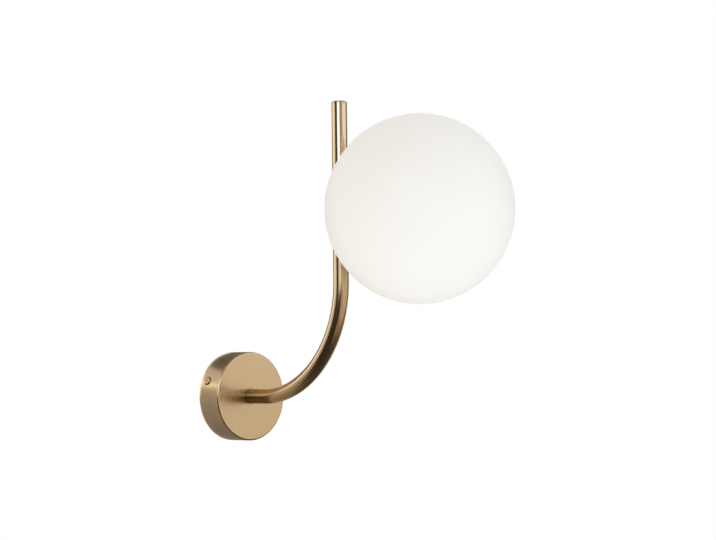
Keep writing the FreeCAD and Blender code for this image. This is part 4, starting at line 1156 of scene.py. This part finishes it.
for name, node in NUTS.items():
    place_piece(name, node, make_nut(node))

# %% [markdown]
# ## Softened working parts
# The strap, the tag, the terminal block, the lampholder and their small screws have the right shape in
# the CAD model, but its edges are knife sharp. Their meshes are copied, the triangles on flat faces
# are merged again, and every sharp edge gets a bevel of the size its process leaves: wide on moulded
# plastic and ceramic, narrow on punched steel.

# %% Copy and soften
SOFTENED = {
    # piece: node, width of the bevel, finish where it isn't the slot's own
    "boss_pair": ("canopy_bosses", 0.2),
    "arm_stud": ("arm_foot", 0.2),
    "block_strap": ("terminal_strap", 0.15),
    "earth_ring_tag": ("earth_tag", 0.12),
    "wire_block": ("terminal_block", 0.3),
    "wire_barrels": ("terminal_barrels", 0.1),
    "grub_screws": ("terminal_screws", 0.08),
    "strap_screw": ("block_screw", 0.1),
    "globe_stem": ("globe_spigot", 0.2, "satin_brass_gallery"),
    "holder_strap": ("lampholder_bracket", 0.15),
    "ceramic_holder": ("lampholder_body", 0.35),
    "pin_contacts": ("lampholder_contacts", 0.06),
    "holder_side_screws": ("lampholder_screws", 0.12),
}


def softened(node, width):
    """A copy of a CAD mesh in millimetres, with flat faces merged and sharp edges rounded."""
    mesh = bmesh.new()
    mesh.from_mesh(frame["nodes"][node].data)
    bmesh.ops.transform(mesh, matrix=Matrix.Scale(1 / MM, 4), verts=mesh.verts)
    bmesh.ops.remove_doubles(mesh, verts=mesh.verts, dist=1e-3)
    bmesh.ops.dissolve_limit(mesh, angle_limit=math.radians(0.6), verts=mesh.verts, edges=mesh.edges)
    return bevelled(mesh, width, 50)


for name, (node, width, *finish) in SOFTENED.items():
    place_piece(name, node, softened(node, width), *finish)

# %% [markdown]
# ## The bulb
# The capsule bulb pushes into the lampholder on two wire loops. Its base is moulded, its core is a
# dotted column, and its dome is thin clear glass with a round tip. The dome is turned with an outside
# and an inside, because glass bends light only if it has a real thickness.

# %% Turn the dome and the core
DOME_WALL = 1.0
DOME_STEPS = 24


def dome_skin(radius, back, tip):
    """Outline points of a round-tipped tube, from its pole to its open end."""
    middle = tip - radius
    arc = [math.pi / 2 * step / DOME_STEPS for step in range(DOME_STEPS + 1)]
    return [(radius * math.sin(turn), middle + radius * math.cos(turn)) for turn in arc] + [(radius, back)]


radius, back, tip = reach_of("bulb_dome", globe_start)
inside = dome_skin(radius - DOME_WALL, back, tip - DOME_WALL)
mesh = turned(dome_skin(radius, back, tip) + inside[::-1], globe_start, steps=80, closed=False)
place_piece("capsule_dome", "bulb_dome", mesh)
radius, back, front = reach_of("bulb_core", globe_start)
corners = [(0, back, 0), (radius, back, 0.4), (radius, front, 1.6), (0, front, 0)]
mesh = turned_round(corners, globe_start, 64, closed=False)
place_piece("capsule_core", "bulb_core", mesh)
place_piece("capsule_base", "bulb_base", softened("bulb_base", 0.5))

# %% [markdown]
# ## Finishes on what stays as it is
# The leads and the bulb's pins keep their CAD meshes, which are already round and smooth. They only
# get their finish, in the material slots of the CAD objects.

# %% Paint the pieces that stay
for node in ("live_lead", "neutral_lead", "earth_lead", "bulb_pins"):
    thing = frame["nodes"][node]
    for slot in thing.material_slots:
        slot.material = FINISHES[SLOT_OF[node]]
    print(f"{node}: {SLOT_OF[node]} on {len(thing.data.polygons)} faces")
